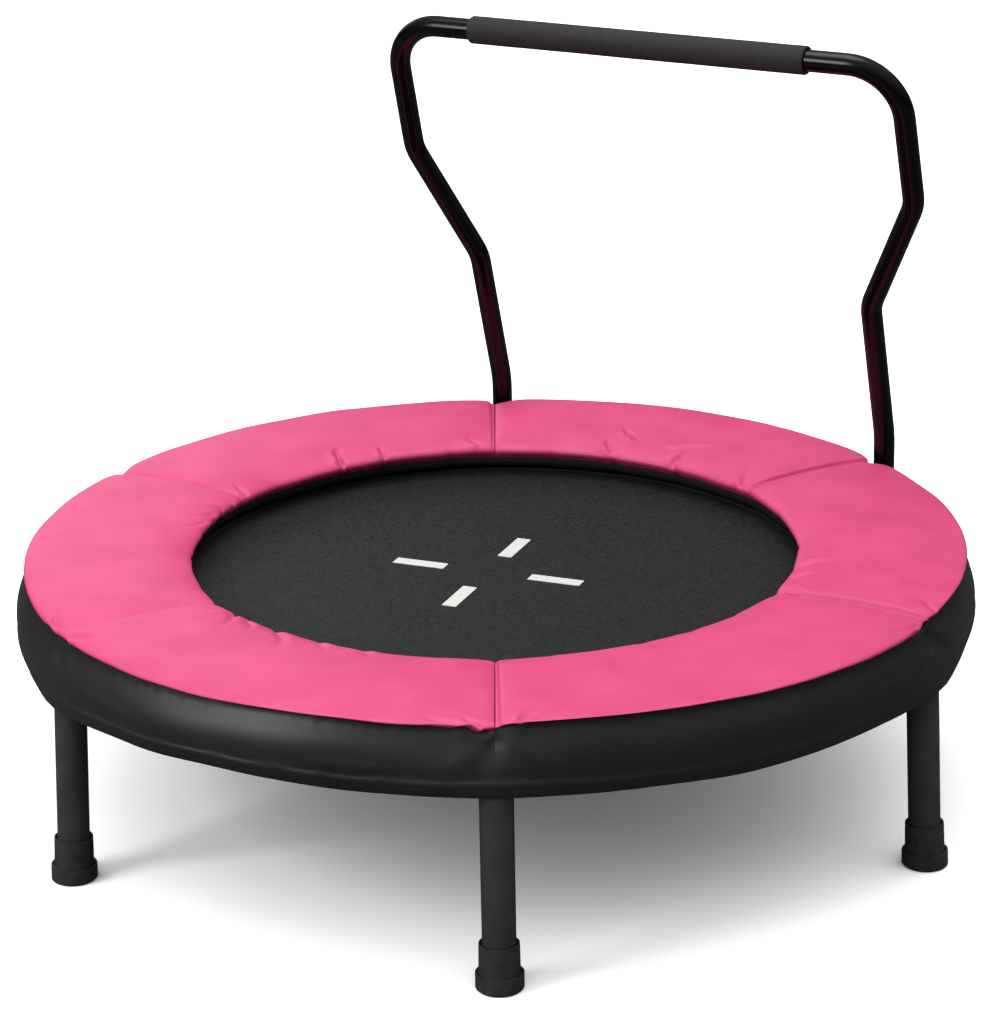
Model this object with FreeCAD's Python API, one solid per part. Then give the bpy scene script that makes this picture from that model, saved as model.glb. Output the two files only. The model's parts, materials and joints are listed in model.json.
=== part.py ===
import FreeCAD, Part
import math
import os

# Mini trampoline with a hand rail.
#
# Frame: +Z up, origin on the floor under the middle of the round frame. +Y points to the side that
# carries the hand rail, +X lies along the rail. Six legs stand at 0, 60, ... 300 degrees from +X,
# and the rail stands beside the legs at 60 and 120 degrees. All lengths are in millimetres.

V = FreeCAD.Vector
Z_AXIS = V(0, 0, 1)
ORIGIN = V(0, 0, 0)

# ---------------------------------------------------------------- driving dimensions

# round frame
RING_RADIUS = 450.0            # to the centre of the frame tube
RING_HEIGHT = 205.0            # centre of the frame tube above the floor
RING_TUBE_DIAMETER = 25.0
RING_TUBE_WALL = 1.5
ARC_COUNT = 6
SLEEVE_LENGTH = 62.0           # joining sleeve inside each frame joint
SLEEVE_WALL = 1.5
SLEEVE_CLEARANCE = 0.1
FRAME_SCREW_DIAMETER = 4.2
FRAME_SCREW_LENGTH = 9.0
FRAME_SCREW_HEAD_DIAMETER = 8.0
FRAME_SCREW_HEAD_HEIGHT = 2.4
FRAME_SCREW_OFFSET = 18.0      # from the joint, along the tube

# legs
LEG_SPLAY = 2.4                # degrees outwards
LEG_DIAMETER = 30.0
LEG_WALL = 1.5
BOSS_DIAMETER = 24.0
BOSS_DROP = 9.5                # boss's lower face below the frame tube
STUD_DIAMETER = 10.0
STUD_LENGTH = 30.0             # that stands out of the boss
STUD_ROOT = 7.0                # that is held in the boss
STUD_FIT = 0.05                # radial, stud in its boss
INSERT_LENGTH = 34.0
INSERT_FIT = 0.03              # radial, insert in the leg tube
THREAD_CLEARANCE = 0.06        # radial, running fit of the leg on the stud
TURN_GAP = 0.3                 # between faces of a leg and the frame

# rubber feet
FOOT_FLOOR = 6.0               # rubber under the end of the leg tube
FOOT_HEIGHT = 42.0
FOOT_SLEEVE_TOP_WALL = 3.0     # rubber round the leg at the foot's rim
FOOT_SLEEVE_BASE_WALL = 3.7    # and at the floor
FOOT_FLANGE_REACH = 6.5        # flange's edge outside the leg
FOOT_FLANGE_HEIGHT = 14.5
FOOT_FLANGE_WALL = 1.9
FOOT_GROOVE_DEPTH = 3.5
FOOT_RIM_DEPTH = 3.5
FOOT_RIM_WALL = 1.3
FOOT_CHAMFER = 1.6
FOOT_RIB_COUNT = 8
FOOT_RIB_WIDTH = 2.6
FOOT_RIB_DROP = 1.0            # ribs' tops below the groove's edge
FOOT_FIT = 0.03                # radial, foot on the leg tube

# jump mat
SPRING_ROOM = 125.0            # from the mat's edge to the centre of the frame tube
MAT_THICKNESS = 1.5
MAT_RISE = 7.0                 # mat's upper face above the centre of the frame tube
WEBBING_WIDTH = 27.0
WEBBING_THICKNESS = 1.2
WEBBING_GAP = 0.15             # between the webbing and the mat
TAB_THICKNESS = 1.2
TAB_TAIL = 26.0
TAB_LOOP_RADIUS = 3.0
LINK_WIRE_DIAMETER = 2.8
LINK_BOW_RADIUS = 10.0
LINK_OFFSET = 4.5              # link's straight bar outside the mat's edge
LINK_CLEARANCE = 0.3           # radial, link's bar in the tab
TAB_END_CLEARANCE = 1.0        # between each end of the tab and the link's bow

# springs
SPRINGS_PER_ARC = 6
SPRING_WIRE_DIAMETER = 2.2
SPRING_DIAMETER = 12.0
SPRING_EYE_CLEARANCE = 0.3
SPRING_NECK = 10.0             # straight wire between the eye and the coil
SPRING_END_INSET = 0.6         # end crossing's wire inside the end of the coil
SPRING_SHANK = 17.2            # straight wire between the coil and the frame tube
SPRING_HOOK_DROP = 5.0
SPRING_HOOK_REACH = 4.0        # hook's end past the inner face of the frame tube
SPRING_HOLE_DIAMETER = 4.0

# hand rail
RAIL_DIAMETER = 22.0
RAIL_WALL = 1.2
RAIL_POST_X = 231.0            # half the distance between the posts
RAIL_LEAN = 15.9               # degrees, towards the mat
RAIL_LEAN_RISE = 58.7          # where the lean begins, above the centre of the frame tube
RAIL_SPREAD_START = 159.0      # along the leaning part
RAIL_SPREAD_END = 283.0
RAIL_TOP = 431.9
RAIL_SPREAD = 58.5             # how far the rail widens outside the posts
RAIL_TOP_SPREAD = 56.0         # and at its top corners
RAIL_LEAN_RADIUS = 90.0
RAIL_BEND_RADIUS = 42.0
RAIL_CORNER_RADIUS = 55.0
RAIL_SLEEVE_LENGTH = 120.0
RAIL_SLEEVE_WALL = 1.5
RAIL_SLEEVE_FIT = 0.05
RAIL_SCREW_DIAMETER = 4.2
RAIL_SCREW_LENGTH = 8.0
RAIL_SCREW_SINK = 0.1          # head's edge below the tube's surface, clear of the grip
RAIL_SCREW_OFFSET = 30.0       # from the middle of the rail
GRIP_LENGTH = 380.0
GRIP_WALL = 3.45
GRIP_FIT = 0.05

# rail sockets
SOCKET_WALL = 1.92
SOCKET_STANDOFF = 1.2          # between the socket and the frame tube
SOCKET_RISE = 16.0             # socket's mouth above the centre of the frame tube
SOCKET_DROP = 20.0             # socket's floor below it
SOCKET_FLOOR = 2.0
SOCKET_FIT = 0.08              # radial, running fit of the post in its socket
SOCKET_REST_GAP = 0.05
SOCKET_WEB_WIDTH = 16.0
SOCKET_WEB_HEIGHT = 18.0
CLAMP_SCREW_DIAMETER = 6.0
CLAMP_SCREW_FIT = 0.05
CLAMP_HEAD_WIDTH = 10.0
CLAMP_HEAD_HEIGHT = 4.0
CLAMP_NECK = 3.0
CLAMP_GAP = 0.05

# padding
PAD_OVER_MAT = 26.0            # inner seam inside the mat's edge
PAD_OVERHANG = 5.0             # outer seam outside the centre of the frame tube
PAD_REST_GAP = 0.3             # between the straps and the padding's underside
PAD_INNER_SEAM_RISE = 10.0     # these rises are above the padding's underside
PAD_OUTER_SEAM_RISE = 18.5
PAD_CROWN_RISE = 29.0
PAD_SHOULDER_RISE = 24.0
PAD_SHOULDER_WIDTH = 15.0
PAD_SHOULDER_BULGE = 0.7       # how full the shoulders are, from 0.5, flat
PAD_BASE_MARGIN = 6.0
PAD_SHEET = 1.0
PAD_SOFT_GAP = 0.35            # between the cover and the foam
PAD_PANEL_GAP = 1.2            # between neighbouring panels at a seam
STRAP_COUNT = 6
STRAP_WIDTH = 22.0
STRAP_THICKNESS = 1.1
STRAP_GAP = 0.1

# skirt
SKIRT_STRAP_GAP = 0.5          # between the straps and the skirt
SKIRT_THICKNESS = 1.0
SKIRT_SEAM_GAP = 0.4           # from the outer seam of the padding
SKIRT_SHOULDER_DROP = 16.0
SKIRT_LEG_GAP = 2.6            # room for the hem's elastic over the legs
SKIRT_FLARE = 17.0             # height over which the skirt widens to clear the legs
SKIRT_FLARE_MARGIN = 2.0       # above the legs' top ends
HEM_DROP = 32.0                # skirt's lower edge below the centre of the frame tube
ELASTIC_WIDTH = 8.0
ELASTIC_THICKNESS = 0.8
ELASTIC_GAP = 0.35
SKIRT_PANEL_GAP = 0.6
SLOT_GAP = 2.0                 # between the skirt and a rail socket

# ---------------------------------------------------------------- worked out from them

LEG_ANGLE = 360.0 / ARC_COUNT
HALF_ARC = LEG_ANGLE / 2
RING_OUTER = RING_TUBE_DIAMETER / 2
RING_INNER = RING_OUTER - RING_TUBE_WALL
BOSS_END = RING_OUTER + BOSS_DROP
FOOT_SLEEVE_TOP_DIAMETER = LEG_DIAMETER + 2 * FOOT_SLEEVE_TOP_WALL
FOOT_SLEEVE_BASE_DIAMETER = LEG_DIAMETER + 2 * FOOT_SLEEVE_BASE_WALL
FOOT_FLANGE_DIAMETER = LEG_DIAMETER + 2 * FOOT_FLANGE_REACH
MAT_RADIUS = RING_RADIUS - SPRING_ROOM
MAT_TOP = RING_HEIGHT + MAT_RISE
SPRING_PITCH = LEG_ANGLE / SPRINGS_PER_ARC
SPRING_HEIGHT = MAT_TOP - MAT_THICKNESS / 2
LINK_BAR_RADIUS = MAT_RADIUS + LINK_OFFSET
LINK_TIP_RADIUS = LINK_BAR_RADIUS + LINK_BOW_RADIUS
TAB_WIDTH = 2 * (LINK_BOW_RADIUS - LINK_WIRE_DIAMETER / 2 - TAB_END_CLEARANCE)
SPLAY = math.radians(LEG_SPLAY)
LEG_REACH = RING_HEIGHT / math.cos(SPLAY)
SOCKET_DIAMETER = RAIL_DIAMETER + 2 * (SOCKET_FIT + SOCKET_WALL)
SOCKET_TOP = RING_HEIGHT + SOCKET_RISE
SOCKET_BOTTOM = RING_HEIGHT - SOCKET_DROP
POST_RADIUS = RING_RADIUS + RING_OUTER + SOCKET_STANDOFF + SOCKET_DIAMETER / 2
POST_ANGLE = math.degrees(math.acos(RAIL_POST_X / POST_RADIUS))
RAIL_POST_Y = POST_RADIUS * math.sin(math.radians(POST_ANGLE))
POST_BOTTOM = SOCKET_BOTTOM + SOCKET_FLOOR + SOCKET_REST_GAP
GRIP_DIAMETER = RAIL_DIAMETER + 2 * (GRIP_FIT + GRIP_WALL)
STRAP_OUTER = RING_OUTER + STRAP_GAP + STRAP_THICKNESS
PAD_INNER_RADIUS = MAT_RADIUS - PAD_OVER_MAT
PAD_OUTER_RADIUS = RING_RADIUS + PAD_OVERHANG
PAD_BASE_HEIGHT = RING_HEIGHT + STRAP_OUTER + PAD_REST_GAP
PAD_INNER_SEAM_HEIGHT = PAD_BASE_HEIGHT + PAD_INNER_SEAM_RISE
PAD_OUTER_SEAM_HEIGHT = PAD_BASE_HEIGHT + PAD_OUTER_SEAM_RISE
PAD_CROWN_HEIGHT = PAD_BASE_HEIGHT + PAD_CROWN_RISE
PAD_SHOULDER_HEIGHT = PAD_BASE_HEIGHT + PAD_SHOULDER_RISE
SKIRT_RADIUS = RING_RADIUS + STRAP_OUTER + SKIRT_STRAP_GAP
HEM_HEIGHT = RING_HEIGHT - HEM_DROP


# ---------------------------------------------------------------- helpers

def write(name, shapes):
    """Write one node, from one solid or a list of solids."""
    solids = shapes if isinstance(shapes, list) else [shapes]
    shape = solids[0] if len(solids) == 1 else Part.makeCompound(solids)
    shape.exportStep("parts/" + name + ".step")


def turned(shape, angle):
    """A copy of the shape, turned about the object's vertical axis."""
    copy = shape.copy()
    copy.rotate(ORIGIN, Z_AXIS, angle)
    return copy


def mirrored(shape):
    """The same piece on the other side of the YZ plane."""
    return shape.mirror(ORIGIN, V(1, 0, 0))


def rod(start, end, radius):
    """A round bar between two points."""
    direction = end - start
    return Part.makeCylinder(radius, direction.Length, start, direction)


def polar(radius, angle, height):
    """The point at a radius, an angle in degrees and a height."""
    turn = math.radians(angle)
    return V(radius * math.cos(turn), radius * math.sin(turn), height)


def ring_tube(tube_radius, start, end):
    """A bent round bar along the frame's circle, between two angles."""
    circle = Part.makeCircle(tube_radius, polar(RING_RADIUS, start, RING_HEIGHT),
                             polar(1.0, start + 90, 0))
    face = Part.Face(Part.Wire(circle))
    return face.revolve(ORIGIN, Z_AXIS, end - start)


def revolved(points, start, end):
    """A closed outline of (radius, height) points or three-point arcs, turned between two angles."""
    edges = []
    current = V(points[0][0], 0, points[0][1])
    first = current
    for step in points[1:]:
        if len(step) == 4:
            middle = V(step[0], 0, step[1])
            target = V(step[2], 0, step[3])
            edges.append(Part.Arc(current, middle, target).toShape())
        else:
            target = V(step[0], 0, step[1])
            edges.append(Part.makeLine(current, target))
        current = target
    edges.append(Part.makeLine(current, first))
    face = Part.Face(Part.Wire(edges))
    face.rotate(ORIGIN, Z_AXIS, start)
    return face.revolve(ORIGIN, Z_AXIS, end - start)


def on_leg(shape, angle):
    """Place a shape drawn down the -Z axis from the frame tube's centre at one leg."""
    placed = shape.copy()
    placed.rotate(ORIGIN, V(0, 1, 0), -LEG_SPLAY)
    placed.translate(V(RING_RADIUS, 0, RING_HEIGHT))
    placed.rotate(ORIGIN, Z_AXIS, angle)
    return placed


def down(radius, top, bottom):
    """A round bar on the -Z axis between two distances below the origin."""
    return Part.makeCylinder(radius, bottom - top, V(0, 0, -bottom))


def bent_path(points, radii):
    """Straight runs joined by tangent arcs, as one wire."""
    edges = []
    start = points[0]
    for before, corner, after, radius in zip(points, points[1:], points[2:], radii):
        towards = (before - corner).normalize()
        away = (after - corner).normalize()
        half = towards.getAngle(away) / 2
        setback = radius / math.tan(half)
        arc_start = corner + towards * setback
        arc_end = corner + away * setback
        bisector = (towards + away).normalize()
        arc_middle = corner + bisector * (radius / math.sin(half) - radius)
        edges.append(Part.makeLine(start, arc_start))
        edges.append(Part.Arc(arc_start, arc_middle, arc_end).toShape())
        start = arc_end
    edges.append(Part.makeLine(start, points[-1]))
    return Part.Wire(edges)


def bent_bar(points, radii, bar_radius):
    """A round bar along a bent path."""
    first_run = points[1] - points[0]
    section = Part.Wire(Part.makeCircle(bar_radius, points[0], first_run))
    return bent_path(points, radii).makePipeShell([section], True, False)


def hexagon(width, height, base, direction):
    """A hexagon bar of a given width across flats, from a base point along a direction."""
    corner_radius = width / math.sqrt(3)
    corners = [polar(corner_radius, 60 * side, 0) for side in range(7)]
    bar = Part.Face(Part.makePolygon(corners)).extrude(V(0, 0, height))
    bar.Placement = FreeCAD.Placement(base, FreeCAD.Rotation(Z_AXIS, direction))
    return bar


# ---------------------------------------------------------------- round frame

def spring_angles():
    """Every spring's angle, none of them at a leg or at a frame joint."""
    return [SPRING_PITCH * (index + 0.5) for index in range(ARC_COUNT * SPRINGS_PER_ARC)]


def frame_screw_angles():
    """Two screws at each frame joint, one on either side of it."""
    offset = math.degrees(FRAME_SCREW_OFFSET / RING_RADIUS)
    joints = [LEG_ANGLE * index + HALF_ARC for index in range(ARC_COUNT)]
    return [joint + side * offset for joint in joints for side in (-1, 1)]


def frame_screw(angle):
    """A pan-head screw up through the tube's underside and the sleeve."""
    face = RING_HEIGHT - RING_OUTER
    head = Part.makeCylinder(FRAME_SCREW_HEAD_DIAMETER / 2, FRAME_SCREW_HEAD_HEIGHT,
                             polar(RING_RADIUS, angle, face - FRAME_SCREW_HEAD_HEIGHT))
    shank = Part.makeCylinder(FRAME_SCREW_DIAMETER / 2, FRAME_SCREW_LENGTH,
                              polar(RING_RADIUS, angle, face - FRAME_SCREW_HEAD_HEIGHT / 2))
    return head.fuse(shank).removeSplitter()


def screw_holes():
    """The drilled holes for the frame screws."""
    return [Part.makeCylinder(FRAME_SCREW_DIAMETER / 2, 2 * FRAME_SCREW_LENGTH,
                              polar(RING_RADIUS, angle, RING_HEIGHT - RING_OUTER - FRAME_SCREW_LENGTH))
            for angle in frame_screw_angles()]


def hook_hole(angle):
    """The hole in the inner side of the frame tube that takes a spring's hook."""
    start = polar(RING_RADIUS - 2 * RING_OUTER, angle, SPRING_HEIGHT)
    end = polar(RING_RADIUS - RING_INNER / 2, angle, SPRING_HEIGHT)
    return rod(start, end, SPRING_HOLE_DIAMETER / 2)


def make_frame():
    """Six tube arcs with a leg in the middle of each, joined by inner sleeves and screws."""
    hooks = [hook_hole(angle) for angle in spring_angles()]
    arc = ring_tube(RING_OUTER, -HALF_ARC, HALF_ARC).cut(ring_tube(RING_INNER, -HALF_ARC, HALF_ARC))
    for index in range(ARC_COUNT):
        piece = turned(arc, LEG_ANGLE * index)
        write("frame_arc_%d" % (index + 1), piece.cut(hooks + screw_holes()))
    half_sleeve = math.degrees(SLEEVE_LENGTH / 2 / RING_RADIUS)
    outer = RING_INNER - SLEEVE_CLEARANCE
    sleeve = ring_tube(outer, HALF_ARC - half_sleeve, HALF_ARC + half_sleeve).cut(
        ring_tube(outer - SLEEVE_WALL, HALF_ARC - half_sleeve, HALF_ARC + half_sleeve))
    sleeves = [turned(sleeve, LEG_ANGLE * index).cut(screw_holes()) for index in range(ARC_COUNT)]
    write("frame_sleeves", sleeves)
    write("frame_screws", [frame_screw(angle) for angle in frame_screw_angles()])


# ---------------------------------------------------------------- legs and feet

def boss_solid():
    """The welded boss under the frame at the leg at angle 0, with the bore for its stud."""
    bore = down(STUD_DIAMETER / 2 + STUD_FIT, BOSS_END - STUD_ROOT, BOSS_END)
    boss = on_leg(down(BOSS_DIAMETER / 2, 0, BOSS_END).cut(bore), 0)
    return boss.cut(ring_tube(RING_OUTER, -HALF_ARC, HALF_ARC))


def make_leg_fixings():
    """A boss under each arc, with a threaded stud pointing down the leg's axis."""
    stud = down(STUD_DIAMETER / 2, BOSS_END - STUD_ROOT, BOSS_END + STUD_LENGTH)
    angles = [LEG_ANGLE * index for index in range(ARC_COUNT)]
    write("leg_bosses", [turned(boss_solid(), angle) for angle in angles])
    write("leg_studs", [on_leg(stud, angle) for angle in angles])


def foot_solid():
    """A rubber cap: tapered sleeve, and a wider foot ring with a ribbed groove behind its rim."""
    bottom = LEG_REACH
    flange_top = bottom - FOOT_FLANGE_HEIGHT
    top = bottom - FOOT_HEIGHT
    overrun = FOOT_FLANGE_DIAMETER * math.tan(SPLAY)
    flange = down(FOOT_FLANGE_DIAMETER / 2, flange_top, bottom + overrun)
    sleeve = Part.makeCone(FOOT_SLEEVE_BASE_DIAMETER / 2, FOOT_SLEEVE_TOP_DIAMETER / 2,
                           FOOT_HEIGHT, V(0, 0, -bottom))
    groove_outer = FOOT_FLANGE_DIAMETER / 2 - FOOT_FLANGE_WALL
    groove_floor = flange_top + FOOT_GROOVE_DEPTH
    groove = down(groove_outer, flange_top, groove_floor)
    flange = flange.cut(groove)
    for index in range(FOOT_RIB_COUNT):
        rib = Part.makeBox(groove_outer, FOOT_RIB_WIDTH, FOOT_GROOVE_DEPTH - FOOT_RIB_DROP,
                           V(0, -FOOT_RIB_WIDTH / 2, -groove_floor))
        flange = flange.fuse(turned(rib, 360.0 * index / FOOT_RIB_COUNT))
    rim_bore = down(FOOT_SLEEVE_TOP_DIAMETER / 2 - FOOT_RIM_WALL, top, top + FOOT_RIM_DEPTH)
    bore = down(LEG_DIAMETER / 2 + FOOT_FIT, top, bottom - FOOT_FLOOR)
    return flange.fuse(sleeve).cut([rim_bore, bore]).removeSplitter()


def cut_to_floor(foot, angle):
    """Trim the sole level with the floor and break its lower edge."""
    reach = 2 * FOOT_FLANGE_DIAMETER
    centre = polar(RING_RADIUS + RING_HEIGHT * math.tan(SPLAY), angle, 0)
    below = Part.makeBox(2 * reach, 2 * reach, reach, centre + V(-reach, -reach, -reach))
    sole = Part.makeCone(FOOT_FLANGE_DIAMETER / 2 - FOOT_CHAMFER, FOOT_FLANGE_DIAMETER / 2 + reach,
                         reach + FOOT_CHAMFER, centre)
    return foot.cut(below).common(sole)


def make_legs():
    """Six screw-on legs: tube, threaded insert and rubber foot."""
    top = BOSS_END + TURN_GAP
    bottom = LEG_REACH - FOOT_FLOOR
    radius = LEG_DIAMETER / 2
    tube = down(radius, top, bottom).cut(down(radius - LEG_WALL, top, bottom))
    insert = down(radius - LEG_WALL - INSERT_FIT, top, top + INSERT_LENGTH).cut(
        down(STUD_DIAMETER / 2 + THREAD_CLEARANCE, top, top + INSERT_LENGTH))
    foot = foot_solid()
    for index in range(ARC_COUNT):
        angle = LEG_ANGLE * index
        number = index + 1
        write("leg_%d_tube" % number, on_leg(tube, angle))
        write("leg_%d_insert" % number, on_leg(insert, angle))
        write("leg_%d_foot" % number, cut_to_floor(on_leg(foot, angle), angle))


# ---------------------------------------------------------------- jump mat and springs

def make_mat():
    """The woven mat with its edge webbing, and a tab and a steel link for each spring."""
    low = MAT_TOP - MAT_THICKNESS
    write("jump_mat", Part.makeCylinder(MAT_RADIUS, MAT_THICKNESS, V(0, 0, low)))
    inner = MAT_RADIUS - WEBBING_WIDTH
    edge = MAT_RADIUS + WEBBING_GAP
    high_face = MAT_TOP + WEBBING_GAP
    low_face = low - WEBBING_GAP
    outline = [(inner, high_face), (edge, high_face), (edge, low_face), (inner, low_face),
               (inner, low_face - WEBBING_THICKNESS),
               (edge + WEBBING_THICKNESS, low_face - WEBBING_THICKNESS),
               (edge + WEBBING_THICKNESS, high_face + WEBBING_THICKNESS),
               (inner, high_face + WEBBING_THICKNESS)]
    write("mat_webbing", revolved(outline, 0, 360))
    tab_top = low_face - WEBBING_THICKNESS
    half_width = TAB_WIDTH / 2
    loop_start = V(LINK_BAR_RADIUS, -half_width, SPRING_HEIGHT)
    loop_end = V(LINK_BAR_RADIUS, half_width, SPRING_HEIGHT)
    tail = Part.makeBox(LINK_BAR_RADIUS - MAT_RADIUS + TAB_TAIL, TAB_WIDTH, TAB_THICKNESS,
                        V(MAT_RADIUS - TAB_TAIL, -half_width, tab_top - TAB_THICKNESS))
    loop = rod(loop_start, loop_end, TAB_LOOP_RADIUS)
    hole = rod(loop_start, loop_end, LINK_WIRE_DIAMETER / 2 + LINK_CLEARANCE)
    clear = revolved([(0, tab_top), (edge + WEBBING_THICKNESS, tab_top),
                      (edge + WEBBING_THICKNESS, MAT_TOP + LINK_BOW_RADIUS),
                      (0, MAT_TOP + LINK_BOW_RADIUS)], -LEG_ANGLE, LEG_ANGLE)
    tab = tail.fuse(loop).cut([hole, clear]).removeSplitter()
    write("mat_tabs", [turned(tab, angle) for angle in spring_angles()])
    write("mat_links", [turned(link_solid(), angle) for angle in spring_angles()])


def link_solid():
    """A D-shaped steel link: a straight bar in the tab and a round bow outwards."""
    wire = LINK_WIRE_DIAMETER / 2
    start = V(LINK_BAR_RADIUS, -LINK_BOW_RADIUS, SPRING_HEIGHT)
    end = V(LINK_BAR_RADIUS, LINK_BOW_RADIUS, SPRING_HEIGHT)
    bow = Part.makeTorus(LINK_BOW_RADIUS, wire, V(LINK_BAR_RADIUS, 0, SPRING_HEIGHT), Z_AXIS,
                         0, 360, 180)
    bow.rotate(V(LINK_BAR_RADIUS, 0, SPRING_HEIGHT), Z_AXIS, -90)
    corners = [Part.makeSphere(wire, start), Part.makeSphere(wire, end)]
    return rod(start, end, wire).fuse([bow] + corners).removeSplitter()


def spring_solid():
    """An extension spring along +X: closed eye on the mat's link, coil, and hook in the frame."""
    wire = SPRING_WIRE_DIAMETER / 2
    eye_radius = LINK_WIRE_DIAMETER / 2 + SPRING_EYE_CLEARANCE + wire
    eye = Part.makeTorus(eye_radius, wire, V(LINK_TIP_RADIUS, 0, SPRING_HEIGHT), V(0, 1, 0))
    eye_edge = LINK_TIP_RADIUS + eye_radius
    coil_start = eye_edge + SPRING_NECK
    coil_end = RING_RADIUS - RING_OUTER - SPRING_SHANK
    length = coil_end - coil_start
    outer = Part.makeCylinder(SPRING_DIAMETER / 2, length,
                              V(coil_start, 0, SPRING_HEIGHT), V(1, 0, 0))
    inner = Part.makeCylinder(SPRING_DIAMETER / 2 - SPRING_WIRE_DIAMETER, length,
                              V(coil_start, 0, SPRING_HEIGHT), V(1, 0, 0))
    rise = V(0, 0, SPRING_DIAMETER / 2 - wire)
    inset = wire + SPRING_END_INSET
    ends = [V(coil_start + inset, 0, SPRING_HEIGHT), V(coil_end - inset, 0, SPRING_HEIGHT)]
    crossings = [rod(middle - rise, middle + rise, wire) for middle in ends]
    hook_x = RING_RADIUS - RING_INNER + SPRING_HOOK_REACH
    hook_top = V(hook_x, 0, SPRING_HEIGHT)
    neck = rod(V(eye_edge, 0, SPRING_HEIGHT), ends[0], wire)
    shank = rod(ends[1], hook_top, wire)
    drop = rod(hook_top, hook_top - V(0, 0, SPRING_HOOK_DROP), wire)
    bend = Part.makeSphere(wire, hook_top)
    pieces = [outer.cut(inner)] + crossings + [neck, shank, drop, bend]
    return eye.fuse(pieces).removeSplitter()


def make_springs():
    """One extension spring from each mat link to its hole in the frame."""
    spring = spring_solid()
    write("springs", [turned(spring, angle) for angle in spring_angles()])


# ---------------------------------------------------------------- hand rail

def rail_points():
    """Corners of the right half of the rail's centre line, from the post's foot to the middle."""
    lean = math.radians(RAIL_LEAN)
    lean_start = RING_HEIGHT + RAIL_LEAN_RISE

    def leaning(x, along):
        return V(x, RAIL_POST_Y - along * math.sin(lean), lean_start + along * math.cos(lean))

    return [V(RAIL_POST_X, RAIL_POST_Y, POST_BOTTOM),
            V(RAIL_POST_X, RAIL_POST_Y, lean_start),
            leaning(RAIL_POST_X, RAIL_SPREAD_START),
            leaning(RAIL_POST_X + RAIL_SPREAD, RAIL_SPREAD_END),
            leaning(RAIL_POST_X + RAIL_TOP_SPREAD, RAIL_TOP),
            leaning(0, RAIL_TOP)]


def rail_screw(side, above=0.0):
    """A countersunk screw up into the rail and its joining sleeve, or its hole, which opens outwards."""
    middle = rail_points()[-1]
    half = RAIL_SCREW_DIAMETER / 2
    head = math.sqrt((RAIL_DIAMETER / 2) ** 2 - half ** 2) - RAIL_SCREW_SINK
    return Part.makeCylinder(half, RAIL_SCREW_LENGTH + above,
                             V(side * RAIL_SCREW_OFFSET, middle.y, middle.z - head - above))


def make_rail():
    """Two bent tube halves that meet under the foam grip, with a sleeve inside the joint."""
    points = rail_points()
    radii = [RAIL_LEAN_RADIUS, RAIL_BEND_RADIUS, RAIL_BEND_RADIUS, RAIL_CORNER_RADIUS]
    radius = RAIL_DIAMETER / 2
    right = bent_bar(points, radii, radius).cut(bent_bar(points, radii, radius - RAIL_WALL))
    screws = [rail_screw(side) for side in (-1, 1)]
    holes = [rail_screw(side, RAIL_DIAMETER / 4) for side in (-1, 1)]
    right = right.cut(holes)
    write("handrail_right", right)
    write("handrail_left", mirrored(right))
    middle = points[-1]
    sleeve_radius = radius - RAIL_WALL - RAIL_SLEEVE_FIT
    sleeve_start = middle - V(RAIL_SLEEVE_LENGTH / 2, 0, 0)
    sleeve_end = middle + V(RAIL_SLEEVE_LENGTH / 2, 0, 0)
    sleeve = rod(sleeve_start, sleeve_end, sleeve_radius).cut(
        rod(sleeve_start, sleeve_end, sleeve_radius - RAIL_SLEEVE_WALL))
    write("handrail_sleeve", sleeve.cut(holes))
    write("handrail_screws", screws)
    grip_start = middle - V(GRIP_LENGTH / 2, 0, 0)
    grip_end = middle + V(GRIP_LENGTH / 2, 0, 0)
    grip = rod(grip_start, grip_end, GRIP_DIAMETER / 2).cut(
        rod(grip_start, grip_end, radius + GRIP_FIT))
    write("foam_grip", grip)


def socket_solid():
    """A closed-bottom tube for the post, with a web that is welded to the frame tube."""
    height = SOCKET_TOP - SOCKET_BOTTOM
    base = V(RAIL_POST_X, RAIL_POST_Y, SOCKET_BOTTOM)
    outer = Part.makeCylinder(SOCKET_DIAMETER / 2, height, base)
    bore = Part.makeCylinder(RAIL_DIAMETER / 2 + SOCKET_FIT, height, base + V(0, 0, SOCKET_FLOOR))
    web = Part.makeBox(POST_RADIUS - RING_RADIUS, SOCKET_WEB_WIDTH, SOCKET_WEB_HEIGHT,
                       V(RING_RADIUS, -SOCKET_WEB_WIDTH / 2, RING_HEIGHT - SOCKET_WEB_HEIGHT / 2))
    web = turned(web, POST_ANGLE)
    tube = ring_tube(RING_OUTER, HALF_ARC, HALF_ARC + LEG_ANGLE)
    thread = rod(V(RAIL_POST_X, RAIL_POST_Y, RING_HEIGHT),
                 V(RAIL_POST_X, RAIL_POST_Y + SOCKET_DIAMETER, RING_HEIGHT),
                 CLAMP_SCREW_DIAMETER / 2 + CLAMP_SCREW_FIT)
    boss = turned(boss_solid(), LEG_ANGLE)
    return outer.fuse(web).cut([tube, bore, thread, boss]).removeSplitter()


def clamp_screw():
    """A hexagon-head screw through the socket's outer wall, up to the post."""
    tip = V(RAIL_POST_X, RAIL_POST_Y + RAIL_DIAMETER / 2 + CLAMP_GAP, RING_HEIGHT)
    head_base = V(RAIL_POST_X, RAIL_POST_Y + SOCKET_DIAMETER / 2 + CLAMP_NECK, RING_HEIGHT)
    shank = rod(tip, head_base, CLAMP_SCREW_DIAMETER / 2)
    head = hexagon(CLAMP_HEAD_WIDTH, CLAMP_HEAD_HEIGHT, head_base, V(0, 1, 0))
    return shank.fuse(head).removeSplitter()


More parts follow.
